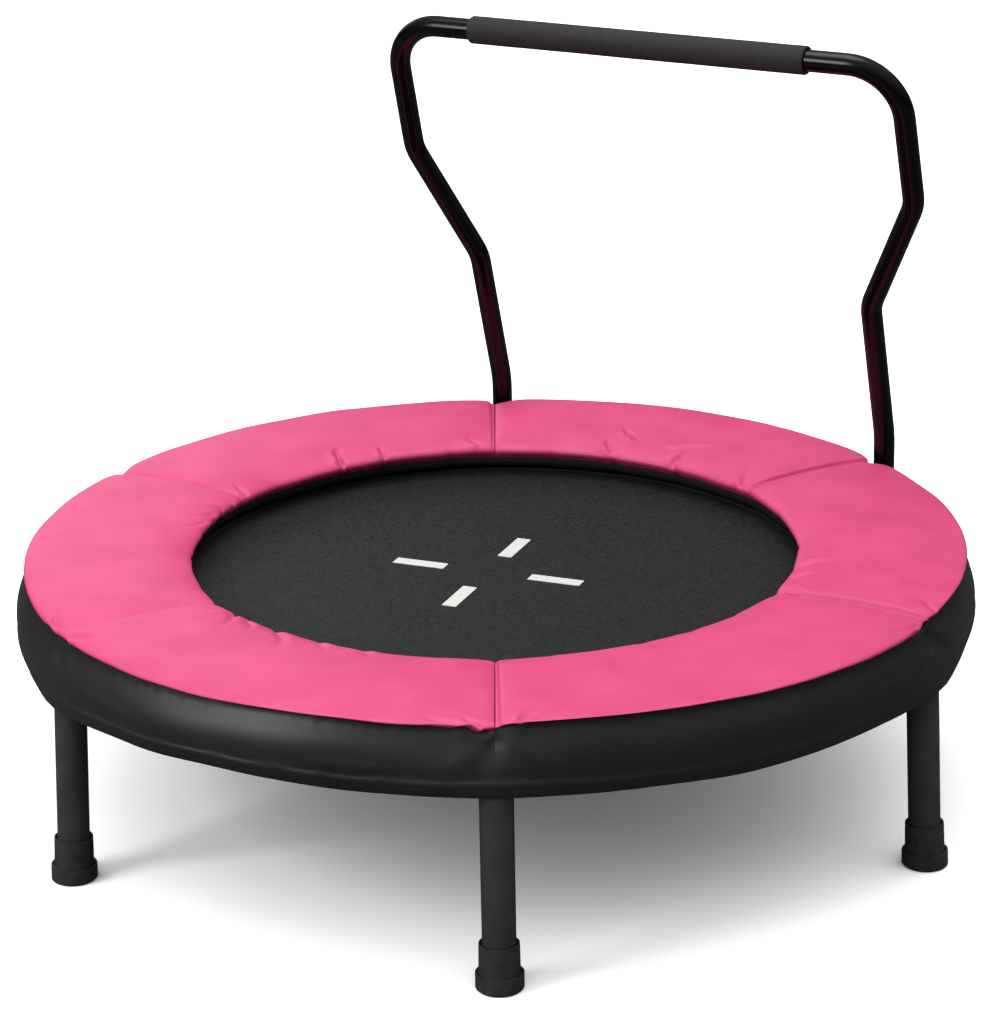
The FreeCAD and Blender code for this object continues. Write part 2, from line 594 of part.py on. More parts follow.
def make_rail_sockets():
    """A socket and a clamp screw for each post of the rail."""
    socket = socket_solid()
    screw = clamp_screw()
    write("rail_socket_right", socket)
    write("rail_socket_left", mirrored(socket))
    write("rail_clamp_screws", [screw, mirrored(screw)])


# ---------------------------------------------------------------- padding and skirt

def pad_top_outline(inset):
    """The crowned upper side of the padding, moved inwards by an inset, as arcs from seam to seam."""
    inner = PAD_INNER_RADIUS + inset
    outer = PAD_OUTER_RADIUS - inset
    shoulder_in = inner + PAD_SHOULDER_WIDTH
    shoulder_out = outer - PAD_SHOULDER_WIDTH
    shoulder = PAD_SHOULDER_HEIGHT - inset
    inner_seam = PAD_INNER_SEAM_HEIGHT
    outer_seam = PAD_OUTER_SEAM_HEIGHT - inset
    side = (1 - PAD_SHOULDER_BULGE) * PAD_SHOULDER_WIDTH
    inner_bulge = inner_seam + PAD_SHOULDER_BULGE * (shoulder - inner_seam)
    outer_bulge = outer_seam + PAD_SHOULDER_BULGE * (shoulder - outer_seam)
    return [(inner, inner_seam),
            (inner + side, inner_bulge, shoulder_in, shoulder),
            ((inner + outer) / 2, PAD_CROWN_HEIGHT - inset, shoulder_out, shoulder),
            (outer - side, outer_bulge, outer, outer_seam)]


def reversed_outline(outline):
    """The same outline, walked from its end to its start."""
    ends = [step[-2:] for step in outline]
    back = [ends[-1]]
    for step, end in zip(reversed(outline[1:]), reversed(ends[:-1])):
        back.append((step[0], step[1]) + end if len(step) == 4 else end)
    return back


def make_padding():
    """Six vinyl panels over foam, on one base sheet that is strapped to the frame."""
    gap = math.degrees(PAD_PANEL_GAP / 2 / PAD_INNER_RADIUS)
    top = pad_top_outline(0) + reversed_outline(pad_top_outline(PAD_SHEET))
    panel = revolved(top, gap, LEG_ANGLE - gap)
    foam_top = pad_top_outline(PAD_SHEET + PAD_SOFT_GAP)
    foam_low = PAD_BASE_HEIGHT + PAD_SHEET + PAD_SOFT_GAP
    foam_end = PAD_OUTER_RADIUS - PAD_BASE_MARGIN - PAD_SHEET
    foam_start = PAD_INNER_RADIUS + PAD_BASE_MARGIN + PAD_SHEET
    foam = revolved(foam_top + [(foam_end, foam_low), (foam_start, foam_low)], gap, LEG_ANGLE - gap)
    for index in range(ARC_COUNT):
        write("pad_panel_%d" % (index + 1), turned(panel, LEG_ANGLE * index))
    write("pad_foam", [turned(foam, LEG_ANGLE * index) for index in range(ARC_COUNT)])
    write("pad_base", revolved(pad_base_outline(), 0, 360))
    write("pad_straps", [turned(strap_solid(), LEG_ANGLE * index + HALF_ARC)
                         for index in range(STRAP_COUNT)])


def pad_base_outline():
    """A flat sheet under the foam with its edges turned up to just under the two seams."""
    inner = PAD_INNER_RADIUS
    outer = PAD_OUTER_RADIUS
    low = PAD_BASE_HEIGHT
    inner_top = PAD_INNER_SEAM_HEIGHT - PAD_SOFT_GAP
    outer_top = PAD_OUTER_SEAM_HEIGHT - PAD_SHEET - PAD_SOFT_GAP
    return [(inner, inner_top), (inner + PAD_BASE_MARGIN, low), (outer - PAD_BASE_MARGIN, low),
            (outer, outer_top), (outer - PAD_SHEET, outer_top),
            (outer - PAD_BASE_MARGIN - PAD_SHEET, low + PAD_SHEET),
            (inner + PAD_BASE_MARGIN + PAD_SHEET, low + PAD_SHEET), (inner + PAD_SHEET, inner_top)]


def strap_solid():
    """An elastic strap around the frame tube, which holds the padding down."""
    half = math.degrees(STRAP_WIDTH / 2 / RING_RADIUS)
    inner = RING_OUTER + STRAP_GAP
    return ring_tube(inner + STRAP_THICKNESS, -half, half).cut(ring_tube(inner, -half, half))


def leg_edge_radius():
    """How far out the top edge of a leg reaches."""
    top = BOSS_END + TURN_GAP
    return RING_RADIUS + top * math.sin(SPLAY) + LEG_DIAMETER / 2 * math.cos(SPLAY)


def make_skirt():
    """Six vinyl skirt panels that hang over the frame, with a flat elastic inside the hem."""
    start_radius = PAD_OUTER_RADIUS + SKIRT_SEAM_GAP
    shoulder = PAD_OUTER_SEAM_HEIGHT - SKIRT_SHOULDER_DROP
    flare_end = RING_HEIGHT - BOSS_END + SKIRT_FLARE_MARGIN
    hem_radius = leg_edge_radius() + SKIRT_LEG_GAP
    inside = [(start_radius, PAD_OUTER_SEAM_HEIGHT), (SKIRT_RADIUS, shoulder),
              (SKIRT_RADIUS, flare_end + SKIRT_FLARE), (hem_radius, flare_end), (hem_radius, HEM_HEIGHT)]
    outside = [(radius + SKIRT_THICKNESS, height) for radius, height in reversed(inside)]
    gap = math.degrees(SKIRT_PANEL_GAP / 2 / SKIRT_RADIUS)
    panel = revolved(inside + outside, gap, LEG_ANGLE - gap)
    slots = skirt_slots()
    for index in range(ARC_COUNT):
        piece = turned(panel, LEG_ANGLE * index)
        write("skirt_%d" % (index + 1), piece.cut(slots))
    outer = hem_radius - ELASTIC_GAP
    inner = outer - ELASTIC_THICKNESS
    low = HEM_HEIGHT + ELASTIC_GAP
    write("hem_elastic", revolved([(inner, low), (outer, low), (outer, low + ELASTIC_WIDTH),
                                   (inner, low + ELASTIC_WIDTH)], 0, 360))


def skirt_slots():
    """Buttonholes in the skirt that the rail sockets stand in."""
    width = SOCKET_DIAMETER + 2 * SLOT_GAP
    low = SOCKET_BOTTOM - SLOT_GAP
    height = SOCKET_TOP + SLOT_GAP - low
    slot = Part.makeBox(SOCKET_DIAMETER, width, height,
                        V(POST_RADIUS - SOCKET_DIAMETER, -width / 2, low))
    return [turned(slot, POST_ANGLE), turned(slot, 180 - POST_ANGLE)]


# ---------------------------------------------------------------- build

os.makedirs("parts", exist_ok=True)
make_frame()
make_leg_fixings()
make_legs()
make_mat()
make_springs()
make_rail()
make_rail_sockets()
make_padding()
make_skirt()
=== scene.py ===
# %% [markdown]
# # A mini trampoline with a hand rail
# The steel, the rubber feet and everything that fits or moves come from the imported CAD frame.
# What is made here is the soft side of the object: a padded vinyl edge in six panels, a vinyl skirt with
# an elastic hem, a woven jump mat, wound springs, a foam grip, and a finish for every surface.
# The frame is loaded first, so that every place and size below can be read from it.

# %% Load the frame
import json
import math

import bmesh
import bpy
import numpy as np
from mathutils import Matrix, Vector, noise


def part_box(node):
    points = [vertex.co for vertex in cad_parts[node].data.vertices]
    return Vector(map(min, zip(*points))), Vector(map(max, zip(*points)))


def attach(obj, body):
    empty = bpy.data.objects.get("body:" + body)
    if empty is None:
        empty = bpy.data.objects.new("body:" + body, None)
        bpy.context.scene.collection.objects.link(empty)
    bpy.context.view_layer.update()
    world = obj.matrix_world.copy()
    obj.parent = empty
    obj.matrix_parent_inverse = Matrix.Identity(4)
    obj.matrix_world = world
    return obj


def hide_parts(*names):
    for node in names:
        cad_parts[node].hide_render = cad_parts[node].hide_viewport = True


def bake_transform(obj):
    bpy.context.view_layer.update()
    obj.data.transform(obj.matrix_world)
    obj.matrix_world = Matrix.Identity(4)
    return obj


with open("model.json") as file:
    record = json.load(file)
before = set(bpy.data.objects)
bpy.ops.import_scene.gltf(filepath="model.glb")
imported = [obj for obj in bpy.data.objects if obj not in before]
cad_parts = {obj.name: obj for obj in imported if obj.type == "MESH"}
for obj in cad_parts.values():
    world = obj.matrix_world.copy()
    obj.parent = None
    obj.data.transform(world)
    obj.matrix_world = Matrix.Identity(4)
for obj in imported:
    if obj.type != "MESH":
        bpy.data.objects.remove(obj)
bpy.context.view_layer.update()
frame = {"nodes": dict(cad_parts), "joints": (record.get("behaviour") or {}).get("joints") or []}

# %% [markdown]
# ## Sizes that the soft pieces follow
# All soft pieces are drawn round the middle of the mat, in millimetres, and turned to metres when a mesh
# is made. The ring, the legs, the mat and the rail sockets are read from the frame. Only what a sewing
# pattern would say is written here as a number.

# %% Sizes
MM = 0.001
PER_METRE = 1000
PANELS = 6
SPRINGS = 36
SECTOR = 360 / PANELS


def span(node, axis):
    """The lowest and highest place of a CAD node along one axis, in millimetres."""
    low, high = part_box(node)
    return low[axis] / MM, high[axis] / MM


leg_joints = [joint for joint in frame["joints"] if joint["name"].startswith("leg_")]
ring_radius = math.hypot(*leg_joints[0]["pos_m"][:2]) / MM
ring_height = leg_joints[0]["pos_m"][2] / MM
arc_low, arc_high = span("frame_arc_1", 2)
tube_radius = (arc_high - arc_low) / 2
mat_radius = span("jump_mat", 0)[1]
mat_top = span("jump_mat", 2)[1]
pad_bottom = span("pad_base", 2)[0]
pad_outer = span("pad_base", 0)[1]
pad_inner = 299.0
hem_bottom = span("skirt_1", 2)[0]
socket_low, socket_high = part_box("rail_socket_right")
print("ring", round(ring_radius), "mat", round(mat_radius), "pad", pad_inner, "to", round(pad_outer))

# %% [markdown]
# ## Helpers for meshes
# A sheet of cloth or vinyl is easiest to shape as rows of points: a formula says where each point of a
# grid lies, and quads join the rows. Round pieces are a profile turned about an axis.

# %% Mesh helpers
def polar(radius, angle, height):
    """A point from a radius, an angle in degrees and a height."""
    turn = math.radians(angle)
    return (radius * math.cos(turn), radius * math.sin(turn), height)


def make_object(name, points, faces, edges=()):
    """A mesh object from points in millimetres."""
    mesh = bpy.data.meshes.new(name)
    mesh.from_pydata([Vector(point) * MM for point in points], list(edges), faces)
    mesh.update()
    piece = bpy.data.objects.new(name, mesh)
    bpy.context.scene.collection.objects.link(piece)
    return piece


def grid_faces(rows, columns, close_rows=False, close_columns=False, start=0):
    """Quads between neighbouring points of a grid whose points are stored row by row."""
    faces = []
    for row in range(rows if close_rows else rows - 1):
        for column in range(columns if close_columns else columns - 1):
            below = (row + 1) % rows
            beside = (column + 1) % columns
            faces.append((start + row * columns + column, start + below * columns + column,
                          start + below * columns + beside, start + row * columns + beside))
    return faces


def smooth(piece):
    """Shade a mesh smoothly."""
    piece.data.polygons.foreach_set("use_smooth", [True] * len(piece.data.polygons))


def outwards(piece):
    """Merge doubles and turn every face of a closed mesh outwards."""
    work = bmesh.new()
    work.from_mesh(piece.data)
    bmesh.ops.remove_doubles(work, verts=work.verts, dist=0.00002)
    bmesh.ops.recalc_face_normals(work, faces=work.faces)
    work.to_mesh(piece.data)
    work.free()
    smooth(piece)


def apply_modifiers(piece):
    """Replace a piece's mesh by the result of its modifiers."""
    graph = bpy.context.evaluated_depsgraph_get()
    mesh = bpy.data.meshes.new_from_object(piece.evaluated_get(graph))
    piece.modifiers.clear()
    piece.data = mesh
    smooth(piece)


def thicken(piece, thickness, levels=1, offset=-1):
    """Give a sheet its thickness, with an optional round of subdivision first."""
    if levels:
        subdivide = piece.modifiers.new("Smooth", "SUBSURF")
        subdivide.levels = levels
        subdivide.render_levels = levels
    wall = piece.modifiers.new("Wall", "SOLIDIFY")
    wall.thickness = thickness * MM
    wall.offset = offset
    apply_modifiers(piece)


def round_blend(values, angle, pitch, first):
    """A smooth value round the ring, from values that stand at equal angles, the first of them at first."""
    place = ((angle - first) / pitch) % len(values)
    index = int(place)
    share = (1 - math.cos(math.pi * (place - index))) / 2
    return values[index] * (1 - share) + values[(index + 1) % len(values)] * share


def away_from(angle, pitch, offset=0.0):
    """Degrees from the nearest of the angles offset, offset + pitch, and so on."""
    return abs((angle - offset + pitch / 2) % pitch - pitch / 2)


def ripple(x, y, z, seed, scale):
    """Smooth noise between about -1 and 1, with bumps about one scale apart, in millimetres."""
    return noise.noise(Vector((x / scale, y / scale, z / scale + seed * 17.3)))


# %% [markdown]
# ## Finishes
# Each finish is named for the real one and built from nodes, in real millimetres. One function turns
# a written colour into the linear values that a shader needs, and one adds a node with its settings and
# links. Patterns read Object coordinates, which on these pieces are the same as the trampoline's frame.

# %% Material helpers
def colour(code):
    """A linear colour from an sRGB hex code."""
    parts = [int(code[i:i + 2], 16) / 255 for i in (1, 3, 5)]
    return [p / 12.92 if p <= 0.04045 else ((p + 0.055) / 1.055) ** 2.4 for p in parts] + [1.0]


def add_node(tree, kind, settings=None, inputs=None):
    """Add a node, set its properties, and give its inputs values or links from other nodes."""
    node = tree.nodes.new(kind)
    for name, value in (settings or {}).items():
        setattr(node, name, value)
    for name, value in (inputs or {}).items():
        if isinstance(value, bpy.types.NodeSocket):
            tree.links.new(value, node.inputs[name])
        else:
            node.inputs[name].default_value = value
    return node


def new_finish(name):
    """An empty material with its shader, its output and Object coordinates."""
    material = bpy.data.materials.new(name)
    material.use_nodes = True
    tree = material.node_tree
    tree.nodes.clear()
    shader = add_node(tree, "ShaderNodeBsdfPrincipled")
    add_node(tree, "ShaderNodeOutputMaterial", inputs={"Surface": shader.outputs[0]})
    place = add_node(tree, "ShaderNodeTexCoord").outputs["Object"]
    return material, tree, shader, place


def link_bump(tree, shader, height, depth):
    """Let a height pattern dent the surface by a depth in millimetres."""
    bump = add_node(tree, "ShaderNodeBump", inputs={"Height": height, "Distance": depth * MM})
    tree.links.new(bump.outputs[0], shader.inputs["Normal"])


def shade_variation(tree, place, dark, light, size, detail=3.0):
    """A soft cloudy mix of two colours, with clouds of a given size in millimetres."""
    cloud = add_node(tree, "ShaderNodeTexNoise", inputs={"Vector": place, "Scale": PER_METRE / size,
                                                         "Detail": detail})
    ramp = add_node(tree, "ShaderNodeValToRGB", inputs={"Fac": cloud.outputs["Fac"]})
    ramp.color_ramp.elements[0].position = 0.35
    ramp.color_ramp.elements[0].color = colour(dark)
    ramp.color_ramp.elements[1].position = 0.65
    ramp.color_ramp.elements[1].color = colour(light)
    return ramp.outputs["Color"]


# %% [markdown]
# Coated vinyl is a knitted backing with a skin of soft PVC, rolled with a fine leather grain. The grain
# is a cell pattern about a millimetre across, dented by a few hundredths of a millimetre, and it makes
# the shine soft and slightly uneven. The pink cover and the black skirt are the same cloth in two colours.

# %% Vinyl
VINYL_CLOUD = 60
VINYL_IOR = 1.5


def vinyl(name, dark, light, roughness, grain_size, grain_depth, sheen):
    """Grained PVC cloth."""
    material, tree, shader, place = new_finish(name)
    shader.inputs["Roughness"].default_value = roughness
    shader.inputs["IOR"].default_value = VINYL_IOR
    shader.inputs["Specular IOR Level"].default_value = 0.45
    shader.inputs["Sheen Weight"].default_value = sheen
    shader.inputs["Sheen Roughness"].default_value = 0.5
    tree.links.new(shade_variation(tree, place, dark, light, VINYL_CLOUD), shader.inputs["Base Color"])
    cells = add_node(tree, "ShaderNodeTexVoronoi", {"feature": "SMOOTH_F1"},
                     {"Vector": place, "Scale": PER_METRE / grain_size, "Smoothness": 0.6})
    link_bump(tree, shader, cells.outputs["Distance"], grain_depth)
    return material


pink_vinyl = vinyl("pink_pvc_cloth", "#B62E62", "#BE366A", 0.48, 1.1, 0.05, 0.02)
black_vinyl = vinyl("black_pvc_cloth", "#161615", "#1A1A19", 0.45, 1.0, 0.04, 0.0)

# %% [markdown]
# The jump mat is woven from flat polypropylene tapes about a millimetre wide, over and under each other.
# Two wave patterns at right angles make the tapes, and a slower noise makes some of them lie a little
# prouder. The colour follows this same height, so the low places of the weave are darker and the proud ones
# lighter: painted shade and light, over tone that differs at random. The weave is drawn at 2 mm, a little
# coarse, so that it still shows from two metres away.

# %% Woven cloths
WAVE_SPAN = 6.2832


def woven(name, dark, light, roughness, thread, depth):
    """Cloth of crossing threads of one width."""
    material, tree, shader, place = new_finish(name)
    shader.inputs["Roughness"].default_value = roughness
    shader.inputs["Specular IOR Level"].default_value = 0.2
    bands = []
    for direction in ("X", "Y"):
        wave = add_node(tree, "ShaderNodeTexWave", {"bands_direction": direction},
                        {"Vector": place, "Scale": PER_METRE / thread / WAVE_SPAN, "Distortion": 0.6,
                         "Detail": 1.0, "Detail Scale": 0.6})
        bands.append(wave.outputs["Fac"])
    crossing = add_node(tree, "ShaderNodeMath", {"operation": "MULTIPLY"}, {0: bands[0], 1: bands[1]})
    weave = add_node(tree, "ShaderNodeMath", {"operation": "MULTIPLY"}, {0: crossing.outputs[0], 1: 0.25})
    uneven = add_node(tree, "ShaderNodeTexNoise", inputs={"Vector": place, "Scale": PER_METRE / thread / 1.4,
                                                          "Detail": 3.0, "Roughness": 0.65})
    height = add_node(tree, "ShaderNodeMath", {"operation": "ADD"},
                      {0: weave.outputs[0], 1: uneven.outputs["Fac"]})
    # The colour follows the height: low places of the weave are darker and proud ones lighter, which is
    # painted shade and light; the noise in the height also gives tone that differs at random.
    ramp = add_node(tree, "ShaderNodeValToRGB", inputs={"Fac": height.outputs[0]})
    ramp.color_ramp.elements[0].position = 0.4
    ramp.color_ramp.elements[0].color = colour(dark)
    ramp.color_ramp.elements[1].position = 0.95
    ramp.color_ramp.elements[1].color = colour(light)
    tree.links.new(ramp.outputs["Color"], shader.inputs["Base Color"])
    link_bump(tree, shader, height.outputs[0], depth)
    return material


mat_cloth = woven("woven_polypropylene", "#050505", "#2B2F2E", 0.6, 2.0, 0.5)
webbing_cloth = woven("black_webbing", "#141414", "#2A2A2A", 0.7, 1.2, 0.2)
backing_cloth = woven("black_backing_cloth", "#101010", "#1E1E1E", 0.8, 0.9, 0.1)
elastic_cloth = woven("knitted_elastic", "#1A1A1A", "#383838", 0.75, 1.0, 0.25)
print_white = woven("white_print_on_weave", "#ABABA8", "#C6C6C3", 0.6, 1.6, 0.15)

# %% [markdown]
# The steel tubes are powder coated or painted. Powder coat has a slight orange peel: a shallow dimple
# pattern a few millimetres across that breaks up reflections. The rail is glossier than the legs.
# The springs, links and screws are zinc plated, and the feet are moulded rubber with a faint bloom.

# %% Paint, steel, rubber and foam
PAINT_CLOUD = 35
ZINC_CLOUD = 4
STREAK = 0.4
RUBBER_CLOUD = 9


def painted(name, dark, light, roughness, peel_size, peel_depth, specular=0.5):
    """Paint or powder coat over steel."""
    material, tree, shader, place = new_finish(name)
    shader.inputs["Roughness"].default_value = roughness
    shader.inputs["Specular IOR Level"].default_value = specular
    tree.links.new(shade_variation(tree, place, dark, light, PAINT_CLOUD), shader.inputs["Base Color"])
    peel = add_node(tree, "ShaderNodeTexNoise", inputs={"Vector": place, "Scale": PER_METRE / peel_size,
                                                        "Detail": 2.0})
    link_bump(tree, shader, peel.outputs["Fac"], peel_depth)
    return material


def plated(name, dark, light, roughness):
    """Zinc plated steel with faint streaks."""
    material, tree, shader, place = new_finish(name)
    shader.inputs["Metallic"].default_value = 1.0
    shader.inputs["Roughness"].default_value = roughness
    tree.links.new(shade_variation(tree, place, dark, light, ZINC_CLOUD), shader.inputs["Base Color"])
    streak = add_node(tree, "ShaderNodeTexNoise", inputs={"Vector": place, "Scale": PER_METRE / STREAK})
    link_bump(tree, shader, streak.outputs["Fac"], 0.01)
    return material


def moulded(name, dark, light, roughness, grain_size, grain_depth, specular=0.5):
    """Moulded rubber, or foam with its cells open at the surface."""
    material, tree, shader, place = new_finish(name)
    shader.inputs["Roughness"].default_value = roughness
    shader.inputs["Specular IOR Level"].default_value = specular
    tree.links.new(shade_variation(tree, place, dark, light, RUBBER_CLOUD, 6.0), shader.inputs["Base Color"])
    cells = add_node(tree, "ShaderNodeTexVoronoi", inputs={"Vector": place, "Scale": PER_METRE / grain_size})
    link_bump(tree, shader, cells.outputs["Distance"], grain_depth)
    return material


rail_paint = painted("gloss_black_paint", "#020202", "#040404", 0.2, 6.0, 0.02, 0.3)
frame_paint = painted("black_powder_coat", "#141414", "#1B1B1B", 0.4, 2.5, 0.05)
leg_paint = painted("satin_black_powder_coat", "#2C2C2C", "#343434", 0.4, 2.0, 0.04)
zinc_steel = plated("zinc_plated_steel", "#8C8F94", "#B9BCC1", 0.34)
foot_rubber = moulded("moulded_rubber", "#232323", "#2E2E2E", 0.55, 0.9, 0.03)
grip_foam = moulded("nitrile_foam", "#272624", "#2A2927", 0.8, 0.8, 0.03, 0.3)
pink_thread = woven("pink_thread", "#B81F5A", "#E04A84", 0.6, 0.4, 0.05)
black_thread = woven("black_thread", "#0D0D0D", "#2C2C2C", 0.5, 0.4, 0.05)

# %% [markdown]
# ## The steel and rubber from the frame
# These CAD nodes already have the right shape. They stay where they are and only get their finishes.

# %% Finishes for the CAD nodes
def finish_nodes(names, material):
    """Give CAD nodes a finish in their own material slots."""
    for name in names:
        node = frame["nodes"][name]
        if not node.data.materials:
            node.data.materials.append(material)
        for index in range(len(node.material_slots)):
            node.material_slots[index].material = material


numbers = range(1, PANELS + 1)
finish_nodes(["frame_arc_%d" % number for number in numbers], frame_paint)
finish_nodes(["leg_bosses", "rail_socket_left", "rail_socket_right"], frame_paint)
finish_nodes(["leg_%d_tube" % number for number in numbers], leg_paint)
finish_nodes(["leg_%d_foot" % number for number in numbers], foot_rubber)
finish_nodes(["handrail_left", "handrail_right"], rail_paint)
steel_nodes = ["frame_sleeves", "frame_screws", "leg_studs", "mat_links", "handrail_sleeve",
               "handrail_screws", "rail_clamp_screws"]
finish_nodes(steel_nodes + ["leg_%d_insert" % number for number in numbers], zinc_steel)
print("finished CAD nodes")

# %% [markdown]
# ## The seams of the padding
# The cover is sewn from six panels. Its outer edge isn't a true circle: it is pinched in and down at
# every radial seam, and between them the filling pushes it up and out by different amounts. The inner
# edge is drawn outwards by small gathers. These two edges are shared by the cover, its backing and the skirt,
# so they are functions of the angle.

# %% Seam lines
SEAM_RISES = [25, 24, 23, 22, 22, 24, 24, 22, 22, 24, 24, 22, 22, 23, 22, 19, 20.5, 22, 26, 24,
              28.5, 26, 22.5, 18.5]
SEAM_PITCH = SECTOR / 4
PINCH_WIDTH = 1.9
PINCH_SHIFT = 0.8
PINCH_DROPS = [2.5, 4.0, 5.0, 4.0, 3.5, 7.0]
VEE_WIDTH = 9.0
VEE_DEPTH = 3.2
GATHERS = [(2, 1.6), (14, 1.0), (27, 1.4), (46, 1.2), (81, 2.6), (95, 3.0), (108, 1.0), (129, 1.6),
           (143, 3.0), (152, 2.6), (170, 1.4), (187, 2.4), (199, 1.2), (213, 1.6), (231, 1.2), (247, 2.6),
           (258, 2.2), (268, 1.6), (277, 1.4), (290, 0.8), (309, 0.8), (326, 2.0), (336, 1.8), (347, 1.4)]
GATHER_WIDTH = 1.3


def pinch(angle):
    """How strongly the nearest radial seam pinches the outer edge, from 0 to 1."""
    return math.exp(-(away_from(angle, SECTOR, -PINCH_SHIFT) / PINCH_WIDTH) ** 2)


def outer_seam(angle):
    """Radius and height of the outer seam."""
    drop = PINCH_DROPS[int(((angle + SECTOR / 2) % 360) / SECTOR)]
    rise = round_blend(SEAM_RISES, angle, SEAM_PITCH, SECTOR / 8)
    wobble = 0.8 * ripple(*polar(60, angle, 0), 3, 9)
    return pad_outer - 4.0 - 3.0 * pinch(angle) + wobble, pad_bottom + rise - drop * pinch(angle)


def gather(angle):
    """How far the nearest gather pulls the inner edge out, in millimetres."""
    away = [abs((angle - place + 180) % 360 - 180) for place, _ in GATHERS]
    return max(pull * math.exp(-(gap / GATHER_WIDTH) ** 2) for gap, (_, pull) in zip(away, GATHERS))


def inner_seam(angle):
    """Radius and height of the inner seam."""
    wave = 1.3 * ripple(*polar(70, angle, 0), 5, 12)
    vee = VEE_DEPTH * math.exp(-away_from(angle, SECTOR) / VEE_WIDTH)
    return pad_inner + 2.0 + wave + gather(angle) + vee, pad_bottom + 10.5 + 0.4 * wave


print("outer seam at the front:", [round(value, 1) for value in outer_seam(300)])

# %% [markdown]
# ## The padded panels
# A panel is a foam strip in a vinyl sleeve: flat underneath, crowned on top, with full shoulders that roll
# over the seams. Its section is a squared ellipse between the two seams, sampled evenly along its
# length, and it sinks towards the radial seams. Cloth simulation then lets the cover, which is cut
# slightly larger than the foam, swell and pucker from its seams; the seams themselves stay pinned.

# %% Shape of one panel
CROWN = 30.0
SQUARENESS = 3.6
ROLL = 8.2
SECTION_POINTS = 54
SEAM_GAP = 0.02
END_STEPS = [0, 0.7, 1.5, 2.1, 2.6, 3.0, 3.5, 4.2, 5.2, 6.8, 9, 12, 16, 20.5]
MIDDLE_COLUMNS = 84
panel_length = math.radians(SECTOR) * (pad_inner + pad_outer) / 2 - 2 * SEAM_GAP
END_SINK = 5.2
START_SINK = 3.4
SEAM_CALM = 0.35
WELT = 3.0


def column_places():
    """Distances of the grid's columns along a panel: close together at its ends."""
    middle = np.linspace(END_STEPS[-1], panel_length - END_STEPS[-1], MIDDLE_COLUMNS + 2)[1:-1]
    return END_STEPS + list(middle) + [panel_length - step for step in reversed(END_STEPS)]


PLACES = column_places()
PANEL_COLUMNS = len(PLACES)


def end_drop(place):
    """How far the top lies below its full height near the ends, in millimetres."""
    to_end = panel_length - place
    gentle = END_SINK * (0.75 * math.exp(-to_end / 10) + 0.25 * math.exp(-to_end / 2.5))
    crisp = START_SINK * (1 - math.tanh((place - WELT - 0.9) / 1.0)) / 2
    crisp += 1.6 * math.exp(-place / 14)
    groove = 1.3 * math.exp(-((place - WELT) / 0.45) ** 2)
    return gentle + crisp + groove


def section(angle, place):
    """Top of the padding at one angle, as (radius, height) points from the inner to the outer seam."""
    inner_r, inner_z = inner_seam(angle)
    outer_r, outer_z = outer_seam(angle)
    nearest = min(place, panel_length - place)
    dense = np.linspace(0, math.pi, 400)
    across = -np.cos(dense)
    share = (across + 1) / 2
    plump = np.maximum(0, 1 - np.abs(across) ** SQUARENESS) ** (1 / SQUARENESS)
    base = inner_z + (outer_z - inner_z) * share
    crown = pad_bottom + CROWN + 1.5 * np.sin(math.pi * share) - 1.2 * (1 - share)
    calm = SEAM_CALM + (1 - SEAM_CALM) * np.clip(share / 0.22, 0, 1)
    lift = (crown - base) * plump - end_drop(place) * plump * calm
    roll = ROLL * np.sin(math.pi * np.clip(plump, 0, 1)) * np.sign(across) * (np.abs(across) > 0.5)
    roll *= 1 - 0.5 * math.exp(-nearest / 6.0)
    radius = inner_r + (outer_r - inner_r) * share + roll
    height = base + lift
    steps = np.hypot(np.diff(radius), np.diff(height))
    along = np.concatenate([[0], np.cumsum(steps)])
    even = np.linspace(0, along[-1], SECTION_POINTS)
    return np.interp(even, along, radius), np.interp(even, along, height)


def panel_points(number):
    """Upper and lower grids of points of one panel."""
    upper, lower = [], []
    for place in PLACES:
        angle = SECTOR * (number - 1) + SECTOR * (place + SEAM_GAP) / (panel_length + 2 * SEAM_GAP)
        nearest = min(place, panel_length - place)
        radii, heights = section(angle, place)
        inner_r, inner_z = inner_seam(angle)
        outer_r, outer_z = outer_seam(angle)
        for radius, height in zip(radii, heights):
            swell = 0.9 * ripple(*polar(radius, angle, 0), number, 55)
            swell *= min(1, nearest / 20) * min(1, (height - pad_bottom - 12) / 12)
            upper.append(polar(radius, angle, height + max(swell, -2)))
            inside = min(max(radius, inner_r + 0.6), outer_r - 0.6)
            edge = max((inner_r + 7 - inside) / 7, (inside - outer_r + 7) / 7, 0)
            seam_z = inner_z if inside < (inner_r + outer_r) / 2 else outer_z
            floor = pad_bottom + 1.4
            lower.append(polar(inside, angle, floor + (seam_z - 0.8 - floor) * edge))
    return upper, lower


def panel_mesh(number):
    """One closed panel, before it is swollen."""
    upper, lower = panel_points(number)
    count = len(upper)
    columns = SECTION_POINTS
    faces = grid_faces(PANEL_COLUMNS, columns)
    faces += [tuple(reversed(face)) for face in grid_faces(PANEL_COLUMNS, columns, start=count)]
    for row in range(PANEL_COLUMNS - 1):
        for edge in (0, columns - 1):
            here, there = row * columns + edge, (row + 1) * columns + edge
            faces.append((here, there, there + count, here + count))
    for edge in (0, PANEL_COLUMNS - 1):
        for column in range(columns - 1):
            here = edge * columns + column
            faces.append((here, here + 1, here + 1 + count, here + count))
    piece = make_object("padding_%d" % number, upper + lower, faces)
    work = bmesh.new()
    work.from_mesh(piece.data)
    bmesh.ops.recalc_face_normals(work, faces=work.faces)
    work.to_mesh(piece.data)
    work.free()
    return piece


# %% [markdown]
# The simulation is short: twenty frames with a little pressure inside, no gravity, and a cover that is
# two per cent too large. The pins hold the underside and every seam. Afterwards no point may have moved by
# more than a few millimetres, which keeps the panel inside the space that its foam fills.

